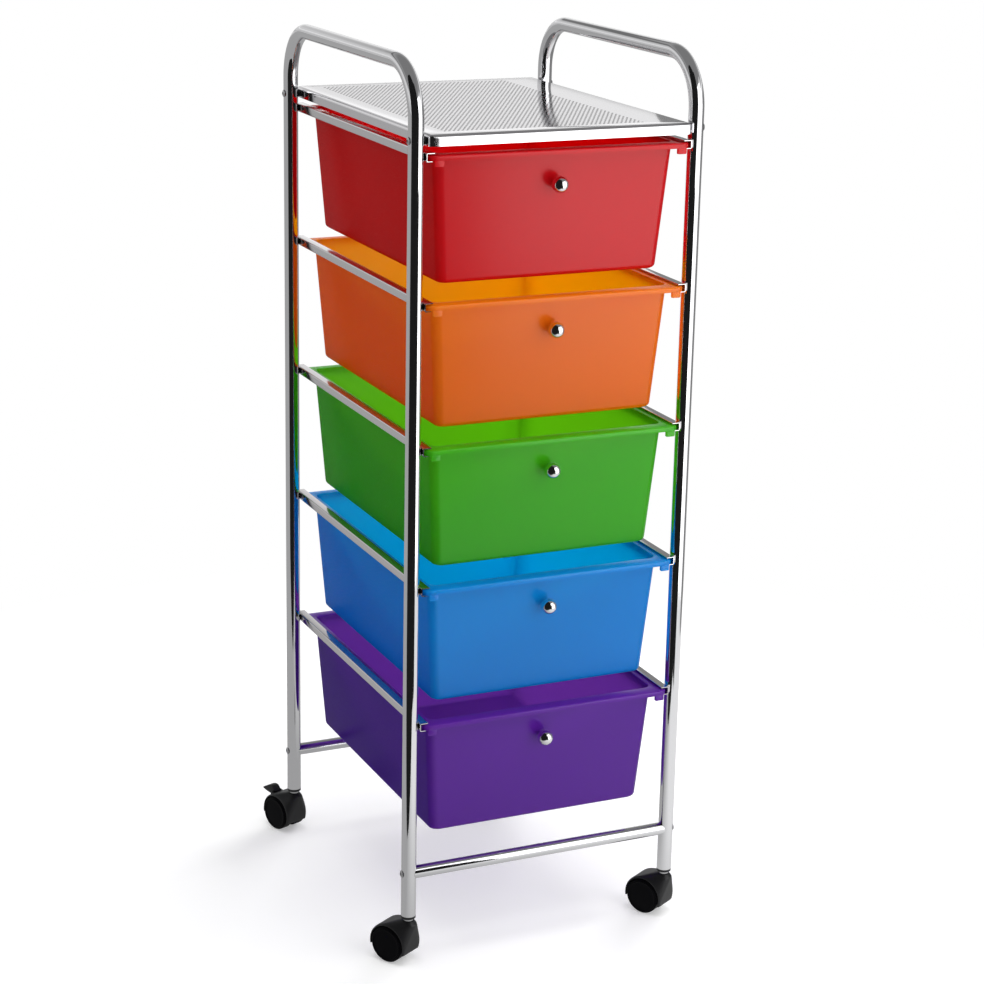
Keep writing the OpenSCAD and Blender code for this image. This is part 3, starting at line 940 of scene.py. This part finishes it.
@dataclass
class Fasteners:
    """The domed screws of the frame and the washers between the tray and the legs."""

    head_r: float = 4 * MM
    head_h: float = 1.6 * MM
    dome_r: float = 7.3 * MM
    shank_r: float = 2.5 * MM
    shank_l: float = 28 * MM
    shank_ease: float = 0.5 * MM
    brim: float = 0.15 * MM
    key_r: float = 1.75 * MM
    key_depth: float = 1 * MM

    def screw(self) -> Blank:
        """One screw: head below the origin, shank along +Z."""
        dome = round_off((0.0, self.dome_r - self.head_h), self.dome_r, -84.0, -58.0, 6)
        made = turned("cap_screw", [
            *dome, (self.head_r, -2 * self.brim), (self.head_r, -self.brim), (self.head_r - self.brim, 0.0),
            (self.shank_r, 0.0), (self.shank_r, self.shank_l - self.shank_ease),
            (self.shank_r - self.shank_ease, self.shank_l),
        ], 32)
        key = Blank.start(
            "key_tool", bpy.ops.mesh.primitive_cylinder_add, vertices=6, radius=self.key_r,
            depth=2 * self.key_depth, location=(0.0, 0.0, -self.head_h),
        )
        return made.cut(key)

    def washer(self, thick: float) -> Blank:
        """One washer, between the leg and the tray's edge."""
        outer, inner, ease = self.head_r, self.shank_r + 0.1 * MM, 0.3 * MM
        return turned("washer", [
            (inner, 0.0), (outer - ease, 0.0), (outer, ease), (outer, thick - ease), (outer - ease, thick),
            (inner, thick),
        ], 32, ring=True)

    def build(self, plan: Plan, finishes: Finishes) -> list[bpy.types.Object]:
        """Builds all screws as one piece, and all washers as another."""
        tray_low, tray_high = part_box("tray_nuts")
        cross_low, cross_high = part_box("front_cross_tube")
        heights = ((tray_low.z + tray_high.z) / 2, (cross_low.z + cross_high.z) / 2)
        screw, copies, washers = self.screw(), [], []
        ring = self.washer(plan.right_x - plan.tube_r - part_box("top_tray")[1].x)
        for side in Side:
            inward = -side.value * X_AXIS
            for y in (plan.front_y, plan.rear_y):
                for z in heights:
                    outside = plan.leg_x(side) + side.value * plan.tube_r
                    copies.append(screw.copy("screw_copy", lying((outside, y, z), inward)))
                inside = plan.leg_x(side) - side.value * plan.tube_r
                washers.append(ring.copy("washer_copy", lying((inside, y, heights[0]), inward)))
        for pattern in (screw, ring):
            bpy.data.objects.remove(pattern.obj)
        screws = Blank(copies[0].add(*copies[1:]).obj, "cap_screws").smooth()
        rings = Blank(washers[0].add(*washers[1:]).obj, "tray_washers").smooth()
        return [
            screws.finish(finishes.steel, "plated_screw", "frame", "frame_screws"),
            rings.finish(finishes.nylon, "black_nylon", "frame", "tray_spacers"),
        ]


@dataclass
class Drawers:
    """The five tapered drawers, each one moulded wall of even thickness."""

    wall: float = 2 * MM
    draft: float = 9.7 * MM
    rim_side: float = 11 * MM
    rim_front: float = 14.7 * MM
    rim_back: float = 10.3 * MM
    rim_depth: float = 5.2 * MM
    floor_r: float = 3.2 * MM
    plan_r: float = 7.3 * MM
    lip_r: float = 1.6 * MM
    edge_r: float = 0.35 * MM
    tab: tuple[float, float, float] = (10 * MM, 3 * MM, 6.2 * MM)
    tab_inset: float = 5 * MM
    tab_sunk: float = 0.4 * MM
    tab_back: float = 0.12 * MM
    tab_corner_r: float = 1.2 * MM

    def levels(self, low: Vector, high: Vector) -> list[tuple[float, float, float, float]]:
        """Half width, front, back and height of the inside at each level, from the floor up."""
        bottom, top = low.z + self.wall, high.z
        half = (high.x - low.x) / 2 - self.rim_side - self.wall
        front, back = low.y + self.rim_front + self.wall, high.y - self.rim_back - self.wall
        made = []
        for turn in (0.0, 22.5, 45.0, 67.5, 90.0):
            rise = self.floor_r * (1 - math.cos(math.radians(turn)))
            z = bottom + rise
            inset = self.draft * (top - z) / (top - low.z) + self.floor_r * (1 - math.sin(math.radians(turn)))
            made.append((half - inset, front + inset, back - inset, z))
        made.append((half, front, back, top))
        made.append(((high.x - low.x) / 2, low.y, high.y, top))
        return made

    def tub(self, name: str, low: Vector, high: Vector) -> Blank:
        """Draws the inside from the floor to the rim, then turns the rim down and thickens it."""
        levels = self.levels(low, high)
        centre_x = (low.x + high.x) / 2
        half, front, back, z = levels[0]
        middle = (centre_x, (front + back) / 2, z)
        made = Blank.start(name, bpy.ops.mesh.primitive_plane_add, size=1.0, location=middle)
        made.everything().fit((2 * half, back - front, 1.0), middle)
        made.everything().bevel(self.plan_r, 8, corners=True)
        made.pick_border(lambda place, way: True)
        for next_half, next_front, next_back, next_z in levels[1:]:
            shift = (next_front + next_back - front - back) / 2
            bpy.ops.mesh.extrude_edges_move(TRANSFORM_OT_translate={"value": (0.0, shift, next_z - z)})
            centre = (centre_x, (next_front + next_back) / 2, next_z)
            made.fit((next_half / half, (next_back - next_front) / (back - front), 1.0), centre)
            half, front, back, z = next_half, next_front, next_back, next_z
        bpy.ops.mesh.extrude_edges_move(TRANSFORM_OT_translate={"value": (0.0, 0.0, -self.rim_depth)})
        self.round_lips(made, levels)
        floor_z = levels[0][3]
        made.facing(lambda place, normal: place.z < floor_z + 0.1 * MM and normal.z < -0.5)
        made.modify("SOLIDIFY", thickness=self.wall, offset=-1.0, use_even_offset=True)
        return made.ease(self.edge_r, 2)

    def round_lips(self, made: Blank, levels: list[tuple[float, float, float, float]]) -> None:
        """Rounds the rim's outer edge and the lip where the walls meet the rim."""
        top = levels[-1][3]
        bpy.ops.mesh.select_mode(type="EDGE")
        bpy.ops.mesh.select_all(action="DESELECT")
        mesh = bmesh.from_edit_mesh(made.obj.data)
        for edge in mesh.edges:
            flat = all(abs(vertex.co.z - top) < 0.01 * MM for vertex in edge.verts)
            if flat and len(edge.link_faces) == 2:
                edge.select = edge.calc_face_angle(0.0) > 0.5
        bmesh.update_edit_mesh(made.obj.data)
        made.bevel(self.lip_r, 4)

    def tabs(self, low: Vector, high: Vector) -> list[Blank]:
        """The two stop tabs under the front corners of the rim."""
        width, thick, tall = self.tab
        made = []
        for side in Side:
            x = (low.x if side is Side.LEFT else high.x) - side.value * (self.tab_inset + width / 2)
            top = high.z - self.rim_depth + self.tab_sunk
            middle = (x, low.y + self.tab_back + thick / 2, top - tall / 2)
            tab = Blank.start("stop_tab", bpy.ops.mesh.primitive_cube_add, size=1.0, location=middle)
            tab.everything().fit((width, thick, tall), middle)
            tab.pick(Part.EDGES, lambda place, way: abs(way.y) > 0.9 and place.z < middle[2])
            tab.bevel(self.tab_corner_r, 4)
            made.append(tab.ease(0.3 * MM, 2))
        return made

    def build(self, finishes: Finishes) -> list[bpy.types.Object]:
        """Builds the five drawers."""
        made = []
        for tier in TIERS:
            low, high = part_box(f"drawer_{tier}")
            tub = self.tub(f"tub_{tier}", low, high)
            tub.add(*self.tabs(low, high)).smooth(30.0)
            made.append(tub.finish(
                finishes.drawers[tier], Finishes.DRAWERS[tier][0], f"drawer_{tier}_body", f"drawer_{tier}"
            ))
        return made


@dataclass
class Knobs:
    """The ball knobs, turned in one piece with their necks."""

    neck_r: float = 3 * MM
    reach: float = 11 * MM
    lean: float = math.radians(4.171)

    def knob(self, ball_r: float) -> Blank:
        """One knob, standing on the wall at the origin."""
        meet = math.degrees(math.asin((self.neck_r + 0.35 * MM) / ball_r))
        ball = round_off((0.0, self.reach), ball_r, meet - 90.0, 86.0, 26)
        return turned("ball_knob", [
            (self.neck_r, 0.0), (self.neck_r, ball[0][1] - 0.5 * MM), *ball,
        ], 56)

    def build(self, finishes: Finishes) -> list[bpy.types.Object]:
        """Builds the five knobs."""
        low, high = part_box("knob_1")
        ball_r = (high.x - low.x) / 2
        pattern = self.knob(ball_r).smooth(40.0)
        outwards = Vector((0.0, -math.cos(self.lean), -math.sin(self.lean)))
        made = []
        for tier in TIERS:
            low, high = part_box(f"knob_{tier}")
            ball = Vector(((low.x + high.x) / 2, low.y + ball_r, (low.z + high.z) / 2))
            knob = pattern.copy(f"pull_{tier}", lying(ball - self.reach * outwards, outwards))
            made.append(knob.finish(finishes.knob, "chrome_knob", f"drawer_{tier}_body", f"knob_{tier}"))
        bpy.data.objects.remove(pattern.obj)
        return made


@dataclass
class Casters:
    """The four twin-wheel casters: socket, stem, hood, two wheels, and a brake lever at the rear."""

    axle_z: float = 20 * MM
    trail: float = 18 * MM
    tread_r: float = 21.3 * MM
    hood_r: float = 23.3 * MM
    hood_half_w: float = 15 * MM
    web_t: float = 7 * MM
    boss_r: float = 6 * MM
    boss_top: float = 49.8 * MM
    boss_blend: float = 6 * MM
    shoulder: tuple[float, float] = (9.5 * MM, 45.2 * MM)
    stem_r: float = 4 * MM
    stem_root: float = 11 * MM
    stem_top: float = 81.3 * MM
    flange: tuple[float, float] = (5.5 * MM, 2.2 * MM)
    axle_r: float = 3 * MM
    fit: float = 0.05 * MM
    wheel_r: float = 20 * MM
    wheel_in: float = 4.2 * MM
    wheel_out: float = 16.5 * MM
    hub: tuple[float, float, float] = (6 * MM, 17 * MM, 7 * MM)
    bore_depth: float = 9.15 * MM
    tread_round: float = 1.2 * MM
    disc_t: float = 1.2 * MM
    disc_inset: float = 1.5 * MM
    ease_r: float = 0.5 * MM
    collar_low: float = 52.3 * MM
    collar_h: float = 3 * MM
    plug_l: float = 30 * MM
    plug_r: float = 6.95 * MM
    plug_end: float = 2 * MM
    pivot: tuple[float, float] = (33.555 * MM, 38.538 * MM)
    lever_half_w: float = 4.75 * MM
    ear: tuple[float, float] = (3.2 * MM, 2.5 * MM)
    ear_gap: float = 0.2 * MM
    barrel_r: float = 2.5 * MM
    pin_r: float = 1.4 * MM
    pin_gap: float = 0.1 * MM
    room_r: float = 4.2 * MM
    skirt: tuple[float, float] = (12 * MM, 16 * MM)
    voxel: float = 0.6 * MM

    def drum(
        self, name: str, radius: float, half_w: float, y: float, z: float, x: float = 0.0, sides: int = 96
    ) -> Blank:
        """A cylinder along the axle's direction."""
        return Blank.start(
            name, bpy.ops.mesh.primitive_cylinder_add, vertices=sides, radius=radius, depth=2 * half_w,
            location=(x, y, z), rotation=(0.0, math.pi / 2, 0.0),
        )

    def post(self, name: str, radius: float, low: float, high: float) -> Blank:
        """A cylinder up the stem's line."""
        return Blank.start(
            name, bpy.ops.mesh.primitive_cylinder_add, vertices=64, radius=radius, depth=high - low,
            location=(0.0, 0.0, (low + high) / 2),
        )

    def skirt_tool(self) -> Blank:
        """Everything below the hood's slanting lower edge."""
        front, back = self.skirt
        span = 4 * self.hood_r
        slope = math.atan((back - front) / (2 * self.hood_r))
        middle_z = (front + back) / 2
        return Blank.start(
            "skirt_tool", bpy.ops.mesh.primitive_cube_add, size=span,
            location=(0.0, self.trail + span / 2 * math.sin(slope), middle_z - span / 2 * math.cos(slope)),
            rotation=(slope, 0.0, 0.0),
        )

    def hood(self, braked: bool) -> Blank:
        """The hood over both wheels, with the stem's boss, and with ears for a lever where braked."""
        made = self.drum("hood_pattern", self.hood_r, self.hood_half_w, self.trail, self.axle_z)
        made.ease(1.4 * MM, 3)
        shoulder_r, shoulder_z = self.shoulder
        made.add(
            self.post("boss", self.boss_r, self.boss_top - self.boss_blend, self.boss_top),
            self.post("shoulder", shoulder_r, shoulder_z - MM, shoulder_z),
        )
        made.everything()
        bpy.ops.mesh.convex_hull()
        pivot_y, pivot_z = self.pivot
        ear_r, ear_t = self.ear
        ear_in = self.lever_half_w + self.ear_gap
        if braked:
            for side in Side:
                x = side.value * (ear_in + ear_t / 2)
                made.add(self.drum("ear", ear_r, ear_t / 2, pivot_y, pivot_z, x, 40).ease(0.5 * MM, 2))
        made.modify("REMESH", mode="VOXEL", voxel_size=self.voxel, adaptivity=0.0)
        made.modify("SMOOTH", factor=0.5, iterations=40)
        room = self.wheel_out * 2
        tools = [
            self.drum(
                "room", self.tread_r, room / 2, self.trail, self.axle_z, side.value * (self.web_t + room) / 2
            )
            for side in Side
        ]
        tools += [
            self.skirt_tool(),
            self.post("bore", self.stem_r + self.fit, self.boss_top - self.stem_root, self.boss_top + MM),
            self.drum("axle_bore", self.axle_r + self.fit, room, self.trail, self.axle_z, sides=48),
        ]
        if braked:
            tools.append(self.drum("lever_room", self.room_r, ear_in, pivot_y, pivot_z, sides=64))
            bore = self.pin_r + self.pin_gap
            tools.append(self.drum("pin_bore", bore, ear_in + ear_t + MM, pivot_y, pivot_z, sides=24))
        made.cut(*tools)
        return made.smooth(35.0)

    def wheel(self) -> Blank:
        """One wheel: the hub side at the origin, the closed disc outwards along +Z."""
        r, deep, step = self.wheel_r, self.wheel_out - self.wheel_in, self.tread_round
        bore, (hub_r, rim_r, hollow) = self.axle_r + self.fit, self.hub
        tread_w, disc_r, ease = deep - self.disc_t, r - self.disc_inset, 0.1 * MM
        dish = [(0.0, 0.5), (0.15, 0.15), (0.5, 0.0), (1.5, 0.0), (1.9, 0.5), (2.6, 0.65), (6.0, 0.45)]
        return turned("wheel_pattern", [
            (bore, self.bore_depth), (bore, 0.0), (hub_r, 0.0), (hub_r, hollow),
            (rim_r, hollow), (rim_r, 0.0),
            *round_off((r - step, step), step, -90.0, 0.0, 6),
            *round_off((r - step, tread_w - step), step, 0.0, 90.0, 6),
            (disc_r + ease, tread_w), (disc_r, tread_w + ease),
            *[(disc_r - inwards * MM, deep - down * MM) for inwards, down in dish],
            (4 * MM, deep - 0.3 * MM),
        ], 72)

    def stem(self) -> Blank:
        """The stem with its flange."""
        (flange_r, flange_t), ease, brim = self.flange, self.ease_r, 0.3 * MM
        root, shelf = self.boss_top - self.stem_root, self.boss_top + flange_t
        return turned("stem_pattern", [
            (self.stem_r - ease, root), (self.stem_r, root + ease), (self.stem_r, self.boss_top),
            (flange_r, self.boss_top), (flange_r, shelf - brim), (flange_r - brim, shelf),
            (self.stem_r, shelf), (self.stem_r, self.stem_top - ease), (self.stem_r - ease, self.stem_top),
        ])

    def socket(self, outer_r: float) -> Blank:
        """The plug in the leg's end, with its collar."""
        low, shoulder = self.collar_low, self.collar_low + self.collar_h
        bore, top, ease = self.stem_r + self.fit, shoulder + self.plug_l, 0.4 * MM
        return turned("socket_pattern", [
            (bore, top - self.plug_end), (bore, low), (outer_r - ease, low), (outer_r, low + ease),
            (outer_r, shoulder), (self.plug_r, shoulder), (self.plug_r, top - ease),
            (self.plug_r - ease, top),
        ])

    def lever(self) -> Blank:
        """The brake lever with its barrel and pins."""
        pivot_y, pivot_z = self.pivot
        stations = [
            (-2.3, 1.0, 1.6), (-0.7, 0.9, 5.3), (1.5, 0.0, 7.6), (4.0, -1.7, 8.3), (6.8, -2.1, 8.1),
            (10.5, -1.6, 6.9), (13.3, -1.2, 5.4), (17.0, -0.3, 3.3), (19.8, 0.7, 1.6),
        ]
        start, low, high = stations[0]
        centre = (0.0, pivot_y + start * MM, pivot_z + (low + high) / 2 * MM)
        made = Blank.start(
            "lever_pattern", bpy.ops.mesh.primitive_plane_add, size=1.0, location=centre,
            rotation=(math.pi / 2, 0.0, 0.0),
        )
        made.everything().fit((2 * self.lever_half_w, 1.0, (high - low) * MM), centre)
        for station, next_low, next_high in stations[1:]:
            bpy.ops.mesh.select_mode(type="FACE")
            made.pull(y=(station - start) * MM, z=(next_low + next_high - low - high) / 2 * MM)
            centre = (0.0, pivot_y + station * MM, pivot_z + (next_low + next_high) / 2 * MM)
            made.fit((1.0, 1.0, (next_high - next_low) / (high - low)), centre)
            start, low, high = station, next_low, next_high
        made.outward()
        made.ease(0.7 * MM, 3, 50.0)
        reach = self.lever_half_w + self.ear_gap + self.ear[1]
        barrel = self.drum("barrel", self.barrel_r, self.lever_half_w, pivot_y, pivot_z, sides=40)
        pin = self.drum("pin", self.pin_r, reach, pivot_y, pivot_z, sides=24)
        return made.add(barrel.ease(0.4 * MM, 2), pin).smooth(40.0)

    def corner_turn(self, corner: Corner) -> Matrix:
        """The turn and place of one caster, from its leg and the direction of its wheels' joint."""
        low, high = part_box(f"socket_{corner.value}")
        axle = next(
            joint["axis"] for joint in frame["joints"] if joint["name"] == f"wheel_a_{corner.value}_roll"
        )
        turn = Matrix.Rotation(math.atan2(axle[1], axle[0]), 4, "Z")
        return Matrix.Translation(((low.x + high.x) / 2, (low.y + high.y) / 2, 0.0)) @ turn

    def build(self, plan: Plan, finishes: Finishes) -> list[bpy.types.Object]:
        """Builds the four casters."""
        hoods = {braked: self.hood(braked) for braked in (False, True)}
        wheel, stem, lever = self.wheel().smooth(40.0), self.stem().smooth(40.0), self.lever()
        socket = self.socket(plan.tube_r).smooth(40.0)
        made = []
        for corner in Corner:
            name, at = corner.value, self.corner_turn(corner)
            body = f"caster_{name}"
            made += [
                socket.copy(f"leg_plug_{name}", at).finish(
                    finishes.nylon, "black_nylon", "frame", f"socket_{name}"),
                stem.copy(f"swivel_stem_{name}", at).finish(
                    finishes.steel, "plated_screw", body, f"stem_{name}"),
                hoods[corner.braked].copy(f"wheel_hood_{name}", at).finish(
                    finishes.nylon, "black_nylon", body, f"hood_{name}"),
            ]
            for letter, side in (("a", Side.LEFT), ("b", Side.RIGHT)):
                out = side.value * X_AXIS
                hub = at @ Matrix.Translation((side.value * self.wheel_in, self.trail, self.axle_z))
                made.append(wheel.copy(f"roller_{letter}_{name}", hub @ lying((0, 0, 0), out)).finish(
                    finishes.wheel, "black_wheel", f"wheel_{letter}_{name}_body", f"wheel_{letter}_{name}"))
            if corner.braked:
                made.append(lever.copy(f"brake_pedal_{name}", at).finish(
                    finishes.nylon, "black_nylon", f"brake_{name}", f"brake_lever_{name}"))
        for pattern in (*hoods.values(), wheel, stem, socket, lever):
            bpy.data.objects.remove(pattern.obj)
        return made


class Kept:
    """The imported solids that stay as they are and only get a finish."""

    @staticmethod
    def build(finishes: Finishes) -> list[bpy.types.Object]:
        """Dresses the inserts, nuts, axles and knob screws."""
        looks = {"cross_tube_inserts": finishes.nylon, "tray_nuts": finishes.steel}
        looks |= {f"axle_{corner.value}": finishes.steel for corner in Corner}
        looks |= {f"knob_screw_{tier}": finishes.steel for tier in TIERS}
        made = []
        for node, material in looks.items():
            obj = frame["nodes"][node]
            for slot in obj.material_slots:
                slot.material = material
            made.append(obj)
        return made


# Studio ---------------------------------------------------------------------------------


@dataclass
class Studio:
    """A white floor, soft boxes, dark flags for the chrome, and the camera."""

    camera_place: tuple[float, float, float] = (-1.0573, -2.3522, 1.2396)
    yaw: float = 24.53
    pitch: float = 16.82
    roll: float = 1.14
    focal_px: float = 2425.0
    frame_px: float = 984.0
    floor_half: float = 40.0
    floor_grey: float = 0.80
    floor_lift: float = 0.32
    near_r: float = 0.55
    far_r: float = 1.1
    floor_in_metal: float = 0.42
    air: float = 0.43
    air_through: float = 0.45
    room_grey: float = 0.36
    overhead_dip: float = 0.14
    low_gain: float = 0.34
    right_gain: float = 0.17
    black: float = 0.012
    grey: float = 0.25

    def toward(self, azimuth: float, distance: float, height: float, plan: Plan) -> Vector:
        """A place at a bearing from the tower, counted from its front towards its right."""
        turn = math.radians(azimuth)
        x, y = plan.middle
        return Vector((x + distance * math.sin(turn), y - distance * math.cos(turn), height))

    def floor(self) -> None:
        """The floor: it takes the tower's shadow near by and is plain white further off. In the metal it
        shows without shadow, painted brighter on the lamps' side.
        """
        ground = Blank.start("floor", bpy.ops.mesh.primitive_plane_add, size=2 * self.floor_half)
        graph, made = Graph.material("white_floor")
        where = graph.node("TexCoord").outputs["Object"]
        distance = Value(graph.node("VectorMath", {"operation": "LENGTH"}, {0: where}).outputs["Value"])
        across = graph.node("SeparateXYZ", inputs={0: where})
        lamp_side = (Value(across.outputs["X"]) - Value(across.outputs["Y"])) * 0.7
        far = ((distance - self.near_r) / (self.far_r - self.near_r)).held()
        path = graph.node("LightPath")
        seen, mirrored = Value(path.outputs["Is Camera Ray"]), Value(path.outputs["Is Glossy Ray"])
        lit = graph.node("BsdfDiffuse", inputs={"Color": (*[self.floor_grey] * 3, 1.0)})
        lift = graph.node("Emission", inputs={"Strength": seen * self.floor_lift})
        near = graph.node("AddShader", inputs={0: lit, 1: lift})
        # Painted reflection: the floor that the metal mirrors is painted brighter towards the front right,
        # where the lamps stand.
        painted_lamp_pool = self.floor_in_metal + 0.5 * (lamp_side / 0.5).held()
        plain = graph.node("Emission", inputs={
            "Strength": seen + mirrored * painted_lamp_pool + (1 - seen - mirrored) * self.air
        })
        graph.close(graph.node("MixShader", inputs={0: (far + mirrored).held(), 1: near, 2: plain}))
        ground.obj.data.materials.append(made)
        ground.clear()

    def world(self) -> None:
        """A soft white surround, which shows in metal as a room with level stripes, greyer overhead."""
        world = bpy.data.worlds.new("studio_air")
        bpy.context.scene.world = world
        graph = Graph(world)
        path = graph.node("LightPath")
        seen, mirrored = Value(path.outputs["Is Camera Ray"]), Value(path.outputs["Is Glossy Ray"])
        passed = Value(path.outputs["Is Transmission Ray"])
        way = graph.node("SeparateXYZ", inputs={0: graph.node("TexCoord").outputs["Generated"]})
        right, high = Value(way.outputs["X"]), Value(way.outputs["Z"])
        low = 1 - ((high - 0.3) / 0.15).held()

        def band(start: float, end: float) -> Value:
            """A level stripe of the room, between two heights."""
            return ((high - start) / 0.012).held() - ((high - end) / 0.012).held()

        gain = self.low_gain + self.right_gain * ((right - 0.1) / 0.3).held()
        room = self.room_grey - self.overhead_dip * ((high - 0.5) / 0.2).held() + low * gain
        room = room * (1 - 0.32 * band(0.025, 0.065) + 0.4 * band(0.17, 0.21) - 0.5 * band(0.40, 0.48))
        strength = seen + mirrored * room + (1 - seen - mirrored) * (self.air + self.air_through * passed)
        air = graph.node("Background", inputs={"Color": (1.0, 1.0, 1.0, 1.0), "Strength": strength})
        graph.close(air, "OutputWorld")

    def flag(self, name: str, corners: Sequence[Vector], height: float, grey: float) -> None:
        """A dark upright screen that only shows in the shiny metal.

        Args:
            name: Name of the screen.
            corners: The points that its foot runs through.
            height: Its height.
            grey: How bright its cloth is.
        """
        screen = Blank.start(name, bpy.ops.mesh.primitive_plane_add, size=MM, location=corners[0])
        screen.everything()
        bpy.ops.mesh.merge(type="CENTER")
        bpy.ops.mesh.extrude_vertices_move(TRANSFORM_OT_translate={"value": (0.0, 0.0, height)})
        screen.everything()
        for start, end in zip(corners, corners[1:]):
            bpy.ops.mesh.extrude_edges_move(TRANSFORM_OT_translate={"value": tuple(end - start)})
        graph, made = Graph.material(name + "_cloth")
        graph.close(graph.node("Emission", inputs={"Strength": grey}))
        screen.obj.data.materials.append(made)
        screen.clear()
        for ray in ("camera", "diffuse", "transmission", "volume_scatter", "shadow"):
            setattr(screen.obj, f"visible_{ray}", False)

    def lamp(
        self, name: str, place: Vector, target: Vector, size: tuple[float, float], watts: float,
        mirrored: bool = True,
    ) -> None:
        """A soft box that faces the tower, and shows in the metal if mirrored."""
        light = bpy.data.lights.new(name, "AREA")
        light.shape, light.size, light.size_y, light.energy = "RECTANGLE", *size, watts
        lamp = bpy.data.objects.new(name, light)
        bpy.context.scene.collection.objects.link(lamp)
        lamp.location = place
        lamp.rotation_euler = (target - place).to_track_quat("-Z", "Y").to_euler()
        lamp.visible_camera = False
        lamp.visible_glossy = mirrored

    def camera(self, plan: Plan) -> None:
        """The camera at the photograph's place, angle and field of view."""
        yaw, pitch, roll = (math.radians(angle) for angle in (self.yaw, self.pitch, self.roll))
        ahead = Vector((math.sin(yaw) * math.cos(pitch), math.cos(yaw) * math.cos(pitch), -math.sin(pitch)))
        right = Vector((math.cos(yaw), -math.sin(yaw), 0.0))
        up = right.cross(ahead)
        across = math.cos(roll) * right + math.sin(roll) * up
        upright = -math.sin(roll) * right + math.cos(roll) * up
        data = bpy.data.cameras.new("camera")
        data.sensor_fit, data.sensor_width = "HORIZONTAL", 36.0
        data.lens = 36.0 * self.focal_px / self.frame_px
        data.clip_end = 200.0
        camera = bpy.data.objects.new("camera", data)
        bpy.context.scene.collection.objects.link(camera)
        place = Vector(self.camera_place) + Vector((*plan.middle, 0.0))
        turn = Matrix((across, upright, -ahead)).transposed().to_4x4()
        camera.matrix_world = Matrix.Translation(place) @ turn
        bpy.context.scene.camera = camera

    def build(self, plan: Plan) -> None:
        """Sets the whole studio up."""
        self.floor()
        self.world()
        middle = Vector((*plan.middle, 0.5))
        front = [(-80.0, 1.17), (-49.0, 0.56), (-31.0, 0.60), (-6.0, 0.93), (5.5, 0.93)]
        flags = {
            "front_flag": (front, 2.4, self.black),
            "low_flag": ([(5.5, 0.93), (15.0, 0.93)], 0.72, self.black),
            "back_flag": ([(64.0, 1.2), (110.0, 1.15), (142.0, 1.15)], 1.1, self.grey),
        }
        for name, (corners, height, grey) in flags.items():
            self.flag(name, [self.toward(*corner, 2 * MM, plan) for corner in corners], height, grey)
        aim = middle + 0.38 * UP
        self.lamp("key_box", self.toward(27.0, 1.3, 0.88, plan), aim, (1.0, 1.7), 8.4)
        self.lamp("side_panel", self.toward(54.0, 1.25, 0.88, plan), aim, (0.50, 1.7), 1.3)
        self.lamp("top_box", middle + Vector((0.06, -0.05, 1.9)), middle, (1.6, 1.6), 30.0, False)
        self.lamp("back_box", self.toward(132.0, 2.5, 0.6, plan), middle, (1.6, 1.0), 72.0, False)
        self.camera(plan)
        bpy.context.scene.view_settings.view_transform = "Standard"


def main() -> None:
    """Builds and dresses the tower, then sets up the studio."""
    logging.basicConfig(level=logging.INFO, format="%(name)s: %(message)s")
    plan, finishes = Plan.read(), Finishes()
    pieces = [
        *SideFrames().build(plan, finishes), *CrossTubes().build(plan, finishes), *Rails().build(finishes),
        *Tray().build(finishes), *Fasteners().build(plan, finishes), *Drawers().build(finishes),
        *Knobs().build(finishes), *Casters().build(plan, finishes), *Kept.build(finishes),
    ]
    for piece in pieces:
        LOG.info("%s: %d faces", piece.name, len(piece.data.polygons))
    Studio().build(plan)


if __name__ == "__main__":
    main()
